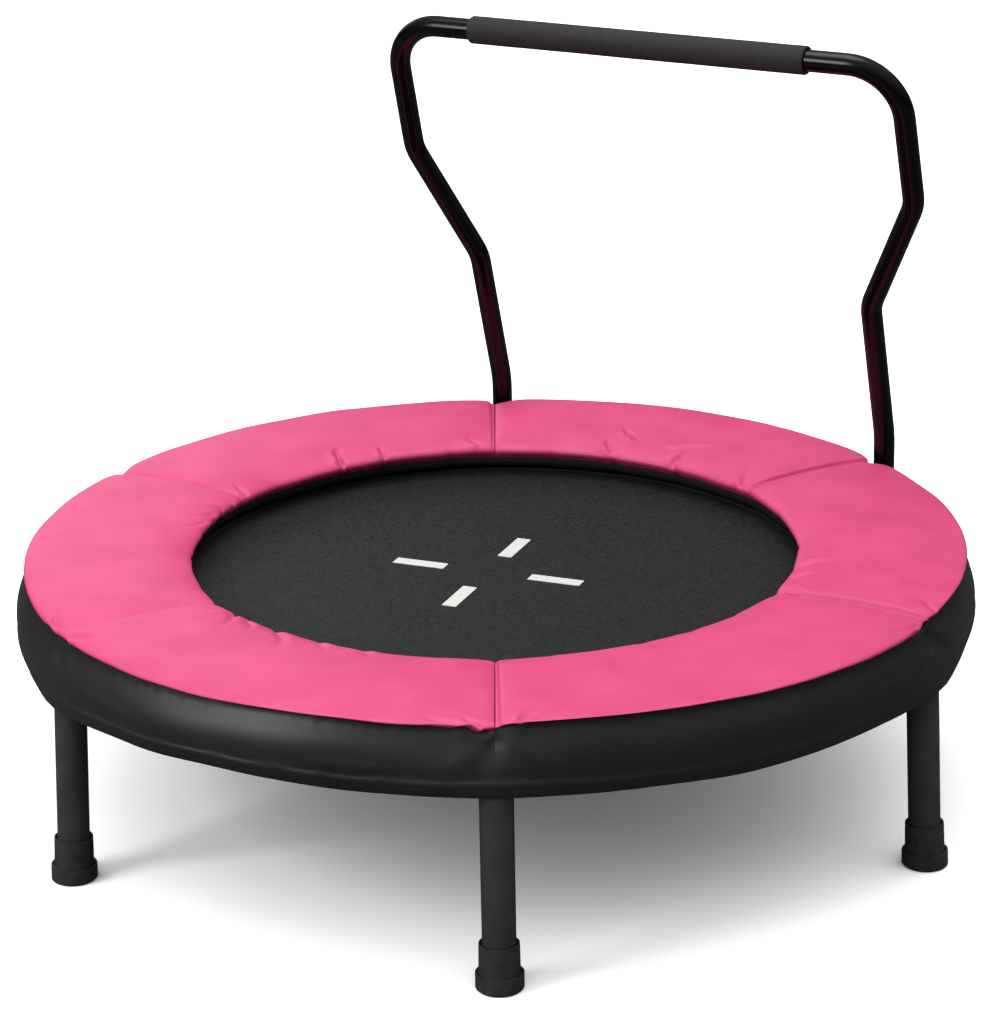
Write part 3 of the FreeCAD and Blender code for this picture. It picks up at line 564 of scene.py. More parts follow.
# %% Swell a piece of cloth
PAD_PRESSURE = 3.0
PAD_GROWTH = 0.02
PAD_TRAVEL = 4.0
FRAMES = 20
STEPS_PER_FRAME = 6
CLOTH_MASS = 0.4
STRETCH_STIFFNESS = 25
SHEAR_STIFFNESS = 12
AIR_DRAG = 4
PIN_STIFFNESS = 8


def pinned_group(piece, weights):
    """A vertex group that holds points in place, one weight a point."""
    group = piece.vertex_groups.new(name="seams")
    for index, weight in enumerate(weights):
        if weight > 0:
            group.add([index], weight, "REPLACE")
    return group.name


def swell(piece, weights, pressure, growth, frames, cap, gravity=0.0, stiffness=6.0):
    """Run a short cloth simulation and keep its result, with a cap on every point's travel."""
    rest = np.array([vertex.co for vertex in piece.data.vertices])
    group = pinned_group(piece, weights)
    cloth = piece.modifiers.new("Cloth", "CLOTH")
    settings = cloth.settings
    settings.quality = STEPS_PER_FRAME
    settings.mass = CLOTH_MASS
    settings.tension_stiffness = STRETCH_STIFFNESS
    settings.compression_stiffness = STRETCH_STIFFNESS
    settings.shear_stiffness = SHEAR_STIFFNESS
    settings.bending_stiffness = stiffness
    settings.air_damping = AIR_DRAG
    settings.use_pressure = pressure > 0
    settings.uniform_pressure_force = pressure
    settings.shrink_min = -growth
    settings.shrink_max = -growth
    settings.vertex_group_mass = group
    settings.pin_stiffness = PIN_STIFFNESS
    settings.effector_weights.gravity = gravity
    cloth.collision_settings.use_collision = False
    cloth.point_cache.frame_start = 1
    cloth.point_cache.frame_end = frames
    scene = bpy.context.scene
    for step in range(1, frames + 1):
        scene.frame_set(step)
    graph = bpy.context.evaluated_depsgraph_get()
    result = piece.evaluated_get(graph).data
    moved = np.array([vertex.co for vertex in result.vertices])
    travel = moved - rest
    distance = np.linalg.norm(travel, axis=1, keepdims=True)
    limit = cap * MM
    kept = rest + travel * (np.tanh(distance / limit) * limit / np.maximum(distance, 1e-9))
    piece.modifiers.clear()
    piece.vertex_groups.clear()
    scene.frame_set(1)
    piece.data.vertices.foreach_set("co", kept.ravel())
    piece.data.update()
    return float(distance.max() / MM)


def panel_weights():
    """Pins for a panel: its whole underside, its edges and its ends."""
    upper = []
    for row in range(PANEL_COLUMNS):
        for column in range(SECTION_POINTS):
            on_edge = column in (0, SECTION_POINTS - 1) or not 8 < row < PANEL_COLUMNS - 5
            upper.append(1.0 if on_edge else 0.0)
    return upper + [1.0] * (PANEL_COLUMNS * SECTION_POINTS)


# %% [markdown]
# Vinyl that is folded for shipping and pulled at its gathers keeps a few sharper tucks. Each is a short
# curved groove with a raised lip beside it, pressed into the panel after the simulation.

# %% Tucks
TUCKS = [
    (152.5, 300, 150.0, 330, 5.2, 3.4), (143.0, 300, 142.4, 316, 3.6, 3.0),
    (93.6, 334, 96.8, 364, 5.0, 3.4), (96.0, 303, 98.0, 330, 3.4, 3.4),
    (81.5, 300, 79.0, 345, 3.4, 4.0), (84.5, 322, 77.0, 352, 2.6, 4.0),
    (183.0, 300, 185.5, 320, 2.4, 2.6), (187.0, 300, 190.5, 326, 2.8, 3.0),
    (191.0, 300, 195.5, 322, 2.4, 2.8), (195.5, 300, 201.0, 320, 2.0, 2.8),
    (178.0, 302, 176.0, 322, 3.0, 3.2), (244.0, 302, 242.5, 322, 2.4, 3.2),
    (247.0, 303, 252.5, 345, 2.2, 4.0), (251.0, 303, 257.0, 330, 1.6, 3.2),
    (258.5, 303, 266.0, 350, 2.0, 5.0), (268.0, 303, 272.0, 330, 1.6, 4.0),
    (277.0, 303, 280.0, 330, 1.6, 4.0), (2.0, 304, 358.0, 335, 2.0, 4.5),
    (8.0, 303, 9.5, 330, 1.6, 4.0), (14.0, 303, 15.5, 340, 1.8, 5.0),
    (302.6, 453, 305.0, 440, 3.2, 3.0), (298.4, 453, 296.4, 442, 3.4, 2.6),
    (295.6, 453, 292.0, 444, 2.0, 3.0), (237.6, 453, 234.0, 438, 2.4, 3.2),
    (242.0, 453, 245.0, 440, 2.4, 3.4), (357.6, 453, 354.0, 440, 2.8, 3.2),
    (2.4, 453, 5.0, 438, 2.2, 3.6), (62.5, 302, 65.5, 330, 3.0, 3.8),
    (123.0, 304, 125.5, 322, 2.6, 3.2),
]


def press_tucks(piece):
    """Press every tuck into the upper side of a panel."""
    points = np.array([vertex.co for vertex in piece.data.vertices]) / MM
    high = np.clip((points[:, 2] - pad_bottom - 9) / 8, 0, 1)
    for start_angle, start_radius, end_angle, end_radius, depth, width in TUCKS:
        start = np.array(polar(start_radius, start_angle, 0)[:2])
        end = np.array(polar(end_radius, end_angle, 0)[:2])
        length = np.linalg.norm(end - start)
        direction = (end - start) / length
        side = np.array([-direction[1], direction[0]])
        offset = points[:, :2] - start
        along = offset @ direction / length
        bow = 0.10 * length * np.sin(math.pi * np.clip(along, 0, 1))
        beside = offset @ side - bow
        fade = np.clip(1 - np.clip(along - 0.3, 0, 1) / 0.7, 0, 1) * np.clip(1 + along * 6, 0, 1)
        groove = -depth * np.exp(-(beside / width) ** 2)
        lip = 0.55 * depth * np.exp(-((beside - 1.9 * width) / (1.3 * width)) ** 2)
        points[:, 2] += (groove + lip) * fade * high
    piece.data.vertices.foreach_set("co", (points * MM).ravel())
    piece.data.update()


for number in numbers:
    panel = panel_mesh(number)
    moved = 0.0
    moved = swell(panel, panel_weights(), PAD_PRESSURE, PAD_GROWTH, FRAMES, PAD_TRAVEL)
    finer = panel.modifiers.new("Smooth", "SUBSURF")
    finer.levels = 1
    finer.render_levels = 1
    apply_modifiers(panel)
    press_tucks(panel)
    panel.data.materials.append(pink_vinyl)
    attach(panel, "frame")
    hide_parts("pad_panel_%d" % number, "pad_foam")
    print("panel", number, "moved at most", round(moved, 1), "mm;", len(panel.data.polygons), "faces")

# %% [markdown]
# ## The backing sheet
# Under the foam lies one ring of plain black cloth, turned up at both edges to meet the seams. It is flat
# where the foam presses on it and sags a little between the straps.

# %% Backing sheet
BACKING_COLUMNS = 240
BACKING_THICKNESS = 0.8


def backing_row(angle):
    """Points across the backing at one angle, from the inner to the outer seam."""
    inner_r, inner_z = inner_seam(angle)
    outer_r, outer_z = outer_seam(angle)
    sag = 1.0 * ripple(*polar(80, angle, 0), 8, 25)
    row = [(inner_r - 0.4, inner_z - 0.8), (inner_r + 0.9, pad_bottom + 3), (inner_r + 4, pad_bottom - 1.9)]
    for step in range(1, 12):
        share = step / 12
        lift = 0.35 * sag * math.sin(math.pi * share) - 2.3 * max(0, 1 - share * 4)
        row.append((inner_r + 5 + (outer_r - inner_r - 10) * share, pad_bottom + 0.6 + max(lift, -2.3)))
    row += [(outer_r - 5, pad_bottom + 0.9), (outer_r - 1.6, pad_bottom + 5), (outer_r - 0.9, outer_z - 1.4)]
    return row


def backing_sheet():
    """The ring of backing cloth."""
    rows = [backing_row(360 * index / BACKING_COLUMNS) for index in range(BACKING_COLUMNS)]
    points = [polar(radius, 360 * index / BACKING_COLUMNS, height)
              for index, row in enumerate(rows) for radius, height in row]
    piece = make_object("padding_backing", points, grid_faces(len(rows), len(rows[0]), close_rows=True))
    thicken(piece, BACKING_THICKNESS, 0)
    return piece


backing = backing_sheet()
outwards(backing)
backing.data.materials.append(backing_cloth)
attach(backing, "frame")
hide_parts("pad_base")
print("backing:", len(backing.data.polygons), "faces")

# %% [markdown]
# ## The skirt
# The skirt is one band of black vinyl in six panels, sewn under the pink edge. It bows out over the frame
# tube, falls past it, and is drawn in again by the elastic in its hem, except where a leg holds it out. At
# each radial seam the pinch above lets it fall in a small tent. The hem hangs lower on one side than on
# the other, as a hand-fitted cover does. The whole band is simulated under its own weight, pinned at the
# seam and at the hem, and then cut into its panels.

# %% Shape of the skirt
SKIRT_THICKNESS = 0.9
SKIRT_COLUMNS = 600
SKIRT_GROWTH = 0.007
SKIRT_TRAVEL = 3.0
RIM_ANGLE = 50
HEM_TURN = 11.5
HEM_STITCH = 7.6
HEM_FINE = [12, 9.6, 8.4, HEM_STITCH, 6.8, 5.4, 2.6, 0]
BODY_ROWS = 16
SKIRT_ROWS = BODY_ROWS + len(HEM_FINE)
HEM_RISES = [4, 6, 6, 6, 3, 6, 7, 6, 3, 6, 6, 5, 2, 4, 3, 2, 2, 6, 11, 10, 11.5, 8, 4, 4]
HEM_PITCH = SECTOR / 4
HEM_IN = 461.0
SEAM_SLACK = 0.3
SKIRT_WIDEST = 466.0
WIDEST_SHARE = 0.42
TENT_OUT = 2.6
TENT_FADE = 34
VALLEY_IN = 3.6
VALLEY_FADE = 30
BROAD_WAVE = 1.6
HEM_GROOVE = 0.55
HOLD_WIDTH = 7.5
TUBE_GAP = 2.2
LEG_EDGE = 468.3


def leg_hold(angle):
    """How far a leg holds the hem out, from 0 to 1."""
    return math.exp(-(away_from(angle, SECTOR) / HOLD_WIDTH) ** 2)


def hem_line(angle):
    """Radius and height of the skirt's lower edge."""
    rise = round_blend(HEM_RISES, angle, HEM_PITCH, 0.0)
    wobble = 0.5 * ripple(*polar(60, angle, 0), 11, 7)
    radius = HEM_IN + (LEG_EDGE - HEM_IN) * leg_hold(angle) + wobble
    return radius, hem_bottom + rise + wobble


def frame_clearance(angle, height):
    """The least radius at which the skirt clears the frame tube, its straps and the legs."""
    reach = tube_radius + TUBE_GAP
    beside = abs(height - ring_height)
    least = ring_radius + math.sqrt(max(reach ** 2 - beside ** 2, 0)) if beside < reach else 0
    if height < ring_height - 20 and away_from(angle, SECTOR) < 2.4:
        least = max(least, LEG_EDGE - 0.6)
    return least


def skirt_point(angle, row):
    """Radius and height of a point of the skirt, from row 0 at the seam down to the hem."""
    top_r, top_z = outer_seam(angle)
    hem_r, hem_z = hem_line(angle)
    top_z -= 1.2
    top_r -= SEAM_SLACK
    if row < BODY_ROWS:
        height = top_z + (hem_z + HEM_FINE[0] - top_z) * row / BODY_ROWS
    else:
        height = hem_z + HEM_FINE[row - BODY_ROWS]
    share = (top_z - height) / (top_z - hem_z)
    wide = SKIRT_WIDEST + 1.0 * ripple(*polar(50, angle, 0), 21, 12)
    bow = ((wide - top_r) / WIDEST_SHARE - (hem_r - top_r)) / (1 - WIDEST_SHARE)
    radius = top_r + (hem_r - top_r) * share + bow * share * (1 - share)
    away = (angle + SECTOR / 2) % SECTOR - SECTOR / 2
    mm_away = math.radians(away) * ring_radius
    drop = share * (top_z - hem_z)
    tent = math.exp(-drop / TENT_FADE) * math.exp(-((abs(mm_away) - 1.1 * drop) / (5 + 0.25 * drop)) ** 2)
    valley = math.exp(-drop / VALLEY_FADE) * math.exp(-(mm_away / (3 + 0.7 * drop)) ** 2)
    radius += TENT_OUT * tent - VALLEY_IN * valley * min(1, share * 5)
    broad = BROAD_WAVE * ripple(*polar(120, angle, height * 0.6), 31, 26) * math.sin(math.pi * share)
    radius = max(radius + broad, frame_clearance(angle, height))
    if row == BODY_ROWS + HEM_FINE.index(HEM_STITCH):
        radius -= HEM_GROOVE
    return radius, height


def skirt_band():
    """The whole skirt as one grid, column by column round the ring."""
    points = []
    for column in range(SKIRT_COLUMNS):
        angle = 360 * column / SKIRT_COLUMNS
        for row in range(SKIRT_ROWS):
            radius, height = skirt_point(angle, row)
            points.append(polar(radius, angle, height))
    return make_object("skirt_band", points, grid_faces(SKIRT_COLUMNS, SKIRT_ROWS, close_rows=True))


band = skirt_band()
pinned_rows = [0] + list(range(BODY_ROWS, SKIRT_ROWS))
pins = [1.0 if row in pinned_rows else 0.0 for _ in range(SKIRT_COLUMNS) for row in range(SKIRT_ROWS)]
swelled = swell(band, pins, 0.0, SKIRT_GROWTH, FRAMES, SKIRT_TRAVEL, gravity=0.6, stiffness=2.5)
print("skirt moved at most", round(swelled, 1), "mm")

# %% [markdown]
# The simulated band is read back, kept clear of the steel inside it, given its turned hem, cut at the six
# seams, and cut away round the two rail sockets, which stand in buttonholes at the back.

# %% Skirt panels
band_points = np.array([vertex.co for vertex in band.data.vertices]) / MM
band_points = band_points.reshape(SKIRT_COLUMNS, SKIRT_ROWS, 3)
bpy.data.objects.remove(band)
for column in range(SKIRT_COLUMNS):
    for row in range(SKIRT_ROWS):
        x, y, z = band_points[column, row]
        radius = math.hypot(x, y)
        least = frame_clearance(math.degrees(math.atan2(y, x)) % 360, z)
        if radius < least:
            band_points[column, row, :2] *= least / radius

SLOT_REACH = 15.5
SLOT_BOTTOM = 186.0
SLOT_TOP = 226.0
right_socket = (socket_low + socket_high) / 2
socket_angle = math.degrees(math.atan2(right_socket.y, right_socket.x))


def in_slot(angle, height):
    """True inside a buttonhole."""
    nearest = min(abs(angle - socket_angle), abs(angle - (180 - socket_angle)))
    return math.radians(nearest) * ring_radius < SLOT_REACH and SLOT_BOTTOM < height < SLOT_TOP


def hem_rows(column_points):
    """Points that carry the sheet round its lower edge and up inside it."""
    x, y, z = column_points[-1]
    radius = math.hypot(x, y)
    turned = []
    for inward, rise in ((0.5, -0.9), (1.5, -1.2), (2.3, -0.4), (2.5, HEM_TURN / 3), (2.4, HEM_TURN)):
        scale = (radius - inward) / radius
        turned.append((x * scale, y * scale, z + rise))
    return turned


def skirt_panel(number):
    """One panel of the skirt, from seam to seam."""
    per_panel = SKIRT_COLUMNS // PANELS
    first = per_panel * (number - 1)
    columns = []
    for column in range(first, first + per_panel + 1):
        here = band_points[column % SKIRT_COLUMNS]
        columns.append([tuple(point) for point in here] + hem_rows(here))
    rows = len(columns[0])
    points = [point for column in columns for point in column]
    faces = []
    for face in grid_faces(len(columns), rows):
        middle = np.mean([points[index] for index in face], axis=0)
        if not in_slot(math.degrees(math.atan2(middle[1], middle[0])) % 360, middle[2]):
            faces.append(face)
    piece = make_object("skirt_panel_%d" % number, points, faces)
    work = bmesh.new()
    work.from_mesh(piece.data)
    bmesh.ops.delete(work, geom=[vertex for vertex in work.verts if not vertex.link_faces], context="VERTS")
    work.to_mesh(piece.data)
    work.free()
    thicken(piece, SKIRT_THICKNESS)
    outwards(piece)
    piece.data.set_sharp_from_angle(angle=math.radians(RIM_ANGLE))
    return piece


for number in numbers:
    panel = skirt_panel(number)
    panel.data.materials.append(black_vinyl)
    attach(panel, "frame")
    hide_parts("skirt_%d" % number)
    print("skirt panel", number, len(panel.data.polygons), "faces")

# %% [markdown]
# A flat elastic runs inside the turned hem and draws it in under the frame. It is a knitted band 10 mm wide.

# %% Hem elastic
ELASTIC_WIDTH = 10.0


def band_along(name, line, across, thickness, material):
    """A closed flat band: a line of (radius, angle, height) points and a list of heights across it."""
    points = [polar(radius, angle, height + step) for radius, angle, height in line for step in across]
    piece = make_object(name, points, grid_faces(len(line), len(across), close_rows=True))
    thicken(piece, thickness, 0)
    outwards(piece)
    piece.data.materials.append(material)
    return piece


hem_path = []
for column in range(0, SKIRT_COLUMNS, 2):
    x, y, z = band_points[column, -1]
    hem_path.append((math.hypot(x, y) - 1.15, 360 * column / SKIRT_COLUMNS, z))
elastic = band_along("hem_band", hem_path, [0.4, 3.6, 7.0, ELASTIC_WIDTH + 0.4], 0.6, elastic_cloth)
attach(elastic, "frame")
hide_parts("hem_elastic")

# %% [markdown]
# ## The jump mat
# A drum-tight disc of woven cloth. It lies flat, with a shallow dish of half a millimetre under its own
# weight, and the pull of each spring draws its edge out by a trace.

# %% Mat
MAT_RINGS = 44
MAT_SPOKES = 216
MAT_THICKNESS = 1.2


def mat_points():
    """Points of the mat, ring by ring."""
    points = []
    for ring in range(1, MAT_RINGS + 1):
        share = (ring / MAT_RINGS) ** 0.8
        for spoke in range(MAT_SPOKES):
            angle = 360 * spoke / MAT_SPOKES
            pull = 0.5 * share ** 8 * math.cos(math.radians((angle - 5) * 36))
            dish = -0.5 * (1 - share ** 2)
            points.append(polar(mat_radius * share + pull - 0.6, angle, mat_top - 0.1 + dish))
    return points


def mat_middle():
    """Triangles that join the smallest ring to the middle point."""
    middle = MAT_RINGS * MAT_SPOKES
    return [(middle, spoke, (spoke + 1) % MAT_SPOKES) for spoke in range(MAT_SPOKES)]


mat = make_object("woven_mat", mat_points() + [(0, 0, mat_top - 0.6)],
                  grid_faces(MAT_RINGS, MAT_SPOKES, close_columns=True) + mat_middle())
outwards(mat)
if mat.data.polygons[0].normal.z < 0:
    mat.data.flip_normals()
thicken(mat, MAT_THICKNESS, 0)
mat.data.materials.append(mat_cloth)
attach(mat, "mat")
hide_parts("jump_mat")
print("mat:", len(mat.data.polygons), "faces")

# %% [markdown]
# Four white bars are printed round the middle of the mat to show where to land. Each is a layer of thick
# ink, half a millimetre deep, with slightly soft corners.

# %% Landing marks
MARK_CENTRE = (-7.0, -3.5)
MARK_TURN = 8.0
MARK_LENGTH = 54.0
MARK_WIDTH = 14.5
MARK_DISTANCE = 71.5
MARK_CORNER = 0.8


def mark_outline():
    """The outline of one bar that points away from the centre, as points round its edge."""
    outline = []
    half_length = MARK_LENGTH / 2 - MARK_CORNER
    half_width = MARK_WIDTH / 2 - MARK_CORNER
    for corner, (sx, sy) in enumerate(((1, 1), (-1, 1), (-1, -1), (1, -1))):
        for step in range(4):
            turn = math.radians(90 * corner + 30 * step)
            outline.append((MARK_DISTANCE + sx * half_length + MARK_CORNER * math.cos(turn),
                            sy * half_width + MARK_CORNER * math.sin(turn)))
    return outline


def landing_marks():
    """Four bars in a cross."""
    points, faces = [], []
    for bar in range(4):
        turn = math.radians(MARK_TURN + 90 * bar)
        base = len(points)
        ring = []
        for x, y in mark_outline():
            ring.append((MARK_CENTRE[0] + x * math.cos(turn) - y * math.sin(turn),
                         MARK_CENTRE[1] + x * math.sin(turn) + y * math.cos(turn)))
        points += [(x, y, mat_top - 0.02) for x, y in ring] + [(x, y, mat_top - 0.55) for x, y in ring]
        count = len(ring)
        faces.append(tuple(base + index for index in range(count)))
        faces.append(tuple(base + count + index for index in reversed(range(count))))
        for index in range(count):
            beside = (index + 1) % count
            faces.append((base + index, base + count + index, base + count + beside, base + beside))
    return make_object("landing_marks", points, faces)


marks = landing_marks()
marks.data.materials.append(print_white)
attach(marks, "mat")
print("landing marks:", len(marks.data.polygons), "faces")

# %% [markdown]
# The mat's raw edge is bound by a folded band of webbing, and 36 short loops of the same webbing are sewn
# under it. Each loop holds a steel link for a spring. The band is a U-shaped section turned about the
# middle; a loop is one outline, swept sideways and copied round.

# %% Webbing and loops
web_inner, web_outer = mat_radius - 16.0, span("mat_webbing", 0)[1]
web_bottom, web_top = span("mat_webbing", 2)
WEB = 1.1


def turned_ring(name, outline, count):
    """A closed outline of (radius, height) points turned about the middle."""
    points = [polar(radius, 360 * index / count, height)
              for index in range(count) for radius, height in outline]
    piece = make_object(name, points, grid_faces(count, len(outline), close_rows=True, close_columns=True))
    outwards(piece)
    return piece


web_middle = (web_top + web_bottom) / 2
web_outline = [(web_inner, web_top - 0.2), (web_inner + 0.4, web_top), (web_outer - 2, web_top),
               (web_outer - 0.5, web_top - 0.6), (web_outer, web_middle), (web_outer - 0.5, web_bottom + 0.6),
               (web_outer - 2, web_bottom), (web_inner + 0.4, web_bottom), (web_inner, web_bottom + 0.2),
               (web_inner, web_bottom + WEB), (web_outer - 2, web_bottom + WEB),
               (web_outer - 1.6, web_middle), (web_outer - 2, web_top - WEB), (web_inner, web_top - WEB)]
binding = turned_ring("edge_binding", web_outline, MAT_SPOKES)
binding.data.materials.append(webbing_cloth)
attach(binding, "mat")
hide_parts("mat_webbing")

TAB_HALF = 7.6
LOOP_RADIUS = 2.35
BAR_OFFSET = 4.5
TAIL = 26.0
LOOP_THICKNESS = 0.9


def loop_outline():
    """Centre line of a loop, seen from the side: under the webbing, round the link's bar, and back."""
    bar = mat_radius + BAR_OFFSET
    centre = mat_top - 0.75
    low = web_bottom - 0.75
    line = [(mat_radius - TAIL, low - 1.2), (mat_radius - 10, low - 1.2), (mat_radius + 0.5, low - 1.0)]
    for turn_angle in np.linspace(-110, 110, 12):
        turn = math.radians(turn_angle)
        line.append((bar + LOOP_RADIUS * math.cos(turn), centre + LOOP_RADIUS * math.sin(turn)))
    return line + [(mat_radius + 1.9, mat_top - 0.8), (mat_radius + 1.6, low + 0.4),
                   (mat_radius - 2, low - 0.1), (mat_radius - 12, low - 0.1), (mat_radius - TAIL, low - 0.1)]


def webbing_loops():
    """All 36 loops in one mesh."""
    line = loop_outline()
    widths = [-TAB_HALF, -TAB_HALF / 2, 0, TAB_HALF / 2, TAB_HALF]
    points, faces = [], []
    for index in range(SPRINGS):
        angle = math.radians(360 / SPRINGS * (index + 0.5))
        east, north = math.cos(angle), math.sin(angle)
        faces += grid_faces(len(line), len(widths), start=len(points))
        for x, z in line:
            points += [(x * east - y * north, x * north + y * east, z) for y in widths]
    piece = make_object("webbing_loops", points, faces)
    thicken(piece, LOOP_THICKNESS, 0, offset=0)
    outwards(piece)
    return piece, line


loops, loop_line = webbing_loops()
loops.data.materials.append(webbing_cloth)
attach(loops, "mat")
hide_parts("mat_tabs")

# %% [markdown]
# Six elastic straps go round the frame tube and hold the padding down on it. The grip on the rail is a
# tube of closed-cell foam, a tight fit, a little thicker in places where hands have not yet squeezed it.

# %% Straps and grip
STRAP_WIDTH = 22.0
STRAP_THICKNESS = 0.9
STRAP_RADIUS = tube_radius + 0.35


def straps():
    """Six bands round the frame tube."""
    points, faces = [], []
    turns, steps = 32, 6
    for strap in range(PANELS):
        middle = SECTOR * (strap + 0.5)
        half = math.degrees(STRAP_WIDTH / 2 / ring_radius)
        faces += grid_faces(steps, turns, close_columns=True, start=len(points))
        for step in range(steps):
            angle = middle - half + 2 * half * step / (steps - 1)
            for turn in range(turns):
                around = 2 * math.pi * turn / turns
                points.append(polar(ring_radius + STRAP_RADIUS * math.cos(around), angle,
                                    ring_height + STRAP_RADIUS * math.sin(around)))
    piece = make_object("pad_strap_bands", points, faces)
    thicken(piece, STRAP_THICKNESS, 0, offset=1)
    outwards(piece)
    return piece


strap_bands = straps()
strap_bands.data.materials.append(elastic_cloth)
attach(strap_bands, "frame")
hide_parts("pad_straps")

grip_low, grip_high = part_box("foam_grip")
GRIP_ROUNDS = 40


def foam_sleeve():
    """The foam grip: a tube with softly rounded ends."""
    outer = (grip_high.z - grip_low.z) / 2 / MM
    inner = outer - 3.3
    x0, x1 = grip_low.x / MM, grip_high.x / MM
    cy = (grip_low.y + grip_high.y) / 2 / MM
    cz = (grip_low.z + grip_high.z) / 2 / MM
    rounding = [(0.5, inner), (0.1, inner + 0.8), (0, outer - 1.4), (0.4, outer - 0.5), (1.3, outer)]
    profile = [(x0 + step_in, radius) for step_in, radius in rounding]
    profile += [(x0 + (x1 - x0) * step / 24, outer) for step in range(1, 24)]
    profile += [(x1 - step_in, radius) for step_in, radius in reversed(rounding)]
    points = []
    for x, radius in profile:
        for turn in range(GRIP_ROUNDS):
            around = 2 * math.pi * turn / GRIP_ROUNDS
            soft = 0.18 * ripple(x, 20 * math.cos(around), 20 * math.sin(around), 41, 30)
            reach = radius + soft * (radius > outer - 0.2) - 0.1
            points.append((x, cy + reach * math.cos(around), cz + reach * math.sin(around)))
    piece = make_object("foam_sleeve", points,
                        grid_faces(len(profile), GRIP_ROUNDS, close_rows=True, close_columns=True))
    outwards(piece)
    return piece


sleeve = foam_sleeve()
sleeve.data.materials.append(grip_foam)
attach(sleeve, "rail")
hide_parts("foam_grip")
print("straps, loops, binding and grip made")

# %% [markdown]
# ## Springs
# Thirty-six close-wound extension springs pull the mat out to the ring. A Geometry Nodes tree winds one:
# a spiral for the coil, turned to lie along the spring, with a round wire swept along it. The closed eye
# and the hook are short curves swept with the same wire. Each spring is baked to a mesh.

# %% Wind one spring
WIRE = 2.2
COIL_OUTER = 12.0
COIL_GAP = 0.12
spring_height = mat_top - 0.75
link_tip = span("mat_links", 0)[1]
EYE_RADIUS = 2.8
NECK = 10.0
COIL_LENGTH = 68.0
HOOK_DROP = 5.0
HOOK_REACH = 4.0


def socket_id(group, name):
    """The identifier of a named input of a node group."""
    for item in group.interface.items_tree:
        if item.item_type == "SOCKET" and item.in_out == "INPUT" and item.name == name:
            return item.identifier
    raise KeyError(name)


def new_tree(name, inputs):
    """A Geometry Nodes tree with a geometry input and named number inputs."""
    tree = bpy.data.node_groups.new(name, "GeometryNodeTree")
    tree.interface.new_socket("Geometry", in_out="INPUT", socket_type="NodeSocketGeometry")
    for title, kind in inputs.items():
        tree.interface.new_socket(title, in_out="INPUT", socket_type=kind)
    tree.interface.new_socket("Geometry", in_out="OUTPUT", socket_type="NodeSocketGeometry")
    return tree, add_node(tree, "NodeGroupInput")


def end_tree(tree, geometry, material):
    """Finish a tree: real geometry with its material."""
    real = add_node(tree, "GeometryNodeRealizeInstances", inputs={"Geometry": geometry})
    finished = add_node(tree, "GeometryNodeSetMaterial", inputs={"Geometry": real.outputs[0],
                                                                 "Material": material})
    add_node(tree, "NodeGroupOutput", inputs={"Geometry": finished.outputs[0]})


def bake(piece, tree, values):
    """Run a tree on a piece with its inputs set, and keep the result as a plain mesh."""
    modifier = piece.modifiers.new("Shape", "NODES")
    modifier.node_group = tree
    for name, value in values.items():
        modifier[socket_id(tree, name)] = value
    apply_modifiers(piece)
    return piece


def wire_tree(material):
    """A tree that sweeps a round wire along a spiral coil and along the input's own edges."""
    tree, given = new_tree("spring_wire", {"Wire radius": "NodeSocketFloat", "Coil radius": "NodeSocketFloat",
                                           "Length": "NodeSocketFloat", "Turns": "NodeSocketFloat",
                                           "Start": "NodeSocketVector"})
    coil = add_node(tree, "GeometryNodeCurveSpiral", inputs={
        "Resolution": 14, "Rotations": given.outputs["Turns"], "Start Radius": given.outputs["Coil radius"],
        "End Radius": given.outputs["Coil radius"], "Height": given.outputs["Length"]})
    laid = add_node(tree, "GeometryNodeTransform", inputs={
        "Geometry": coil.outputs[0], "Translation": given.outputs["Start"], "Rotation": (0, math.pi / 2, 0)})
    ends = add_node(tree, "GeometryNodeMeshToCurve", inputs={"Mesh": given.outputs["Geometry"]})
    joined = add_node(tree, "GeometryNodeJoinGeometry")
    tree.links.new(laid.outputs[0], joined.inputs[0])
    tree.links.new(ends.outputs[0], joined.inputs[0])
    round_wire = add_node(tree, "GeometryNodeCurvePrimitiveCircle", inputs={
        "Resolution": 6, "Radius": given.outputs["Wire radius"]})
    swept = add_node(tree, "GeometryNodeCurveToMesh", inputs={
        "Curve": joined.outputs[0], "Profile Curve": round_wire.outputs[0], "Fill Caps": True})
    end_tree(tree, swept.outputs[0], material)
    return tree


def spring_ends():
    """Centre lines of the eye and the hook, with the runs that lead into the coil."""
    coil_radius = (COIL_OUTER - WIRE) / 2
    eye_edge = link_tip + EYE_RADIUS - 1.4
    coil_start = eye_edge + NECK
    coil_end = coil_start + COIL_LENGTH
    centre = link_tip - 1.4
    eye = [(centre + EYE_RADIUS * math.cos(turn), 0, spring_height + EYE_RADIUS * math.sin(turn))
           for turn in np.linspace(0.2, 2 * math.pi, 16)]
    lead_in = eye + [(eye_edge + NECK * 0.5, 0, spring_height + 0.4),
                     (coil_start - 1.0, 0, spring_height + 2.6),
                     (coil_start + 0.6, 0, spring_height + coil_radius)]
    hook_x = ring_radius - tube_radius + 1.5 + HOOK_REACH
    lead_out = [(coil_end - 0.6, 0, spring_height + coil_radius), (coil_end + 1.5, 0, spring_height + 2.4),
                (coil_end + 6, 0, spring_height + 0.3), (hook_x - 2.5, 0, spring_height),
                (hook_x - 0.7, 0, spring_height - 0.8), (hook_x, 0, spring_height - 2.4),
                (hook_x, 0, spring_height - HOOK_DROP)]
    return [lead_in, lead_out], coil_start


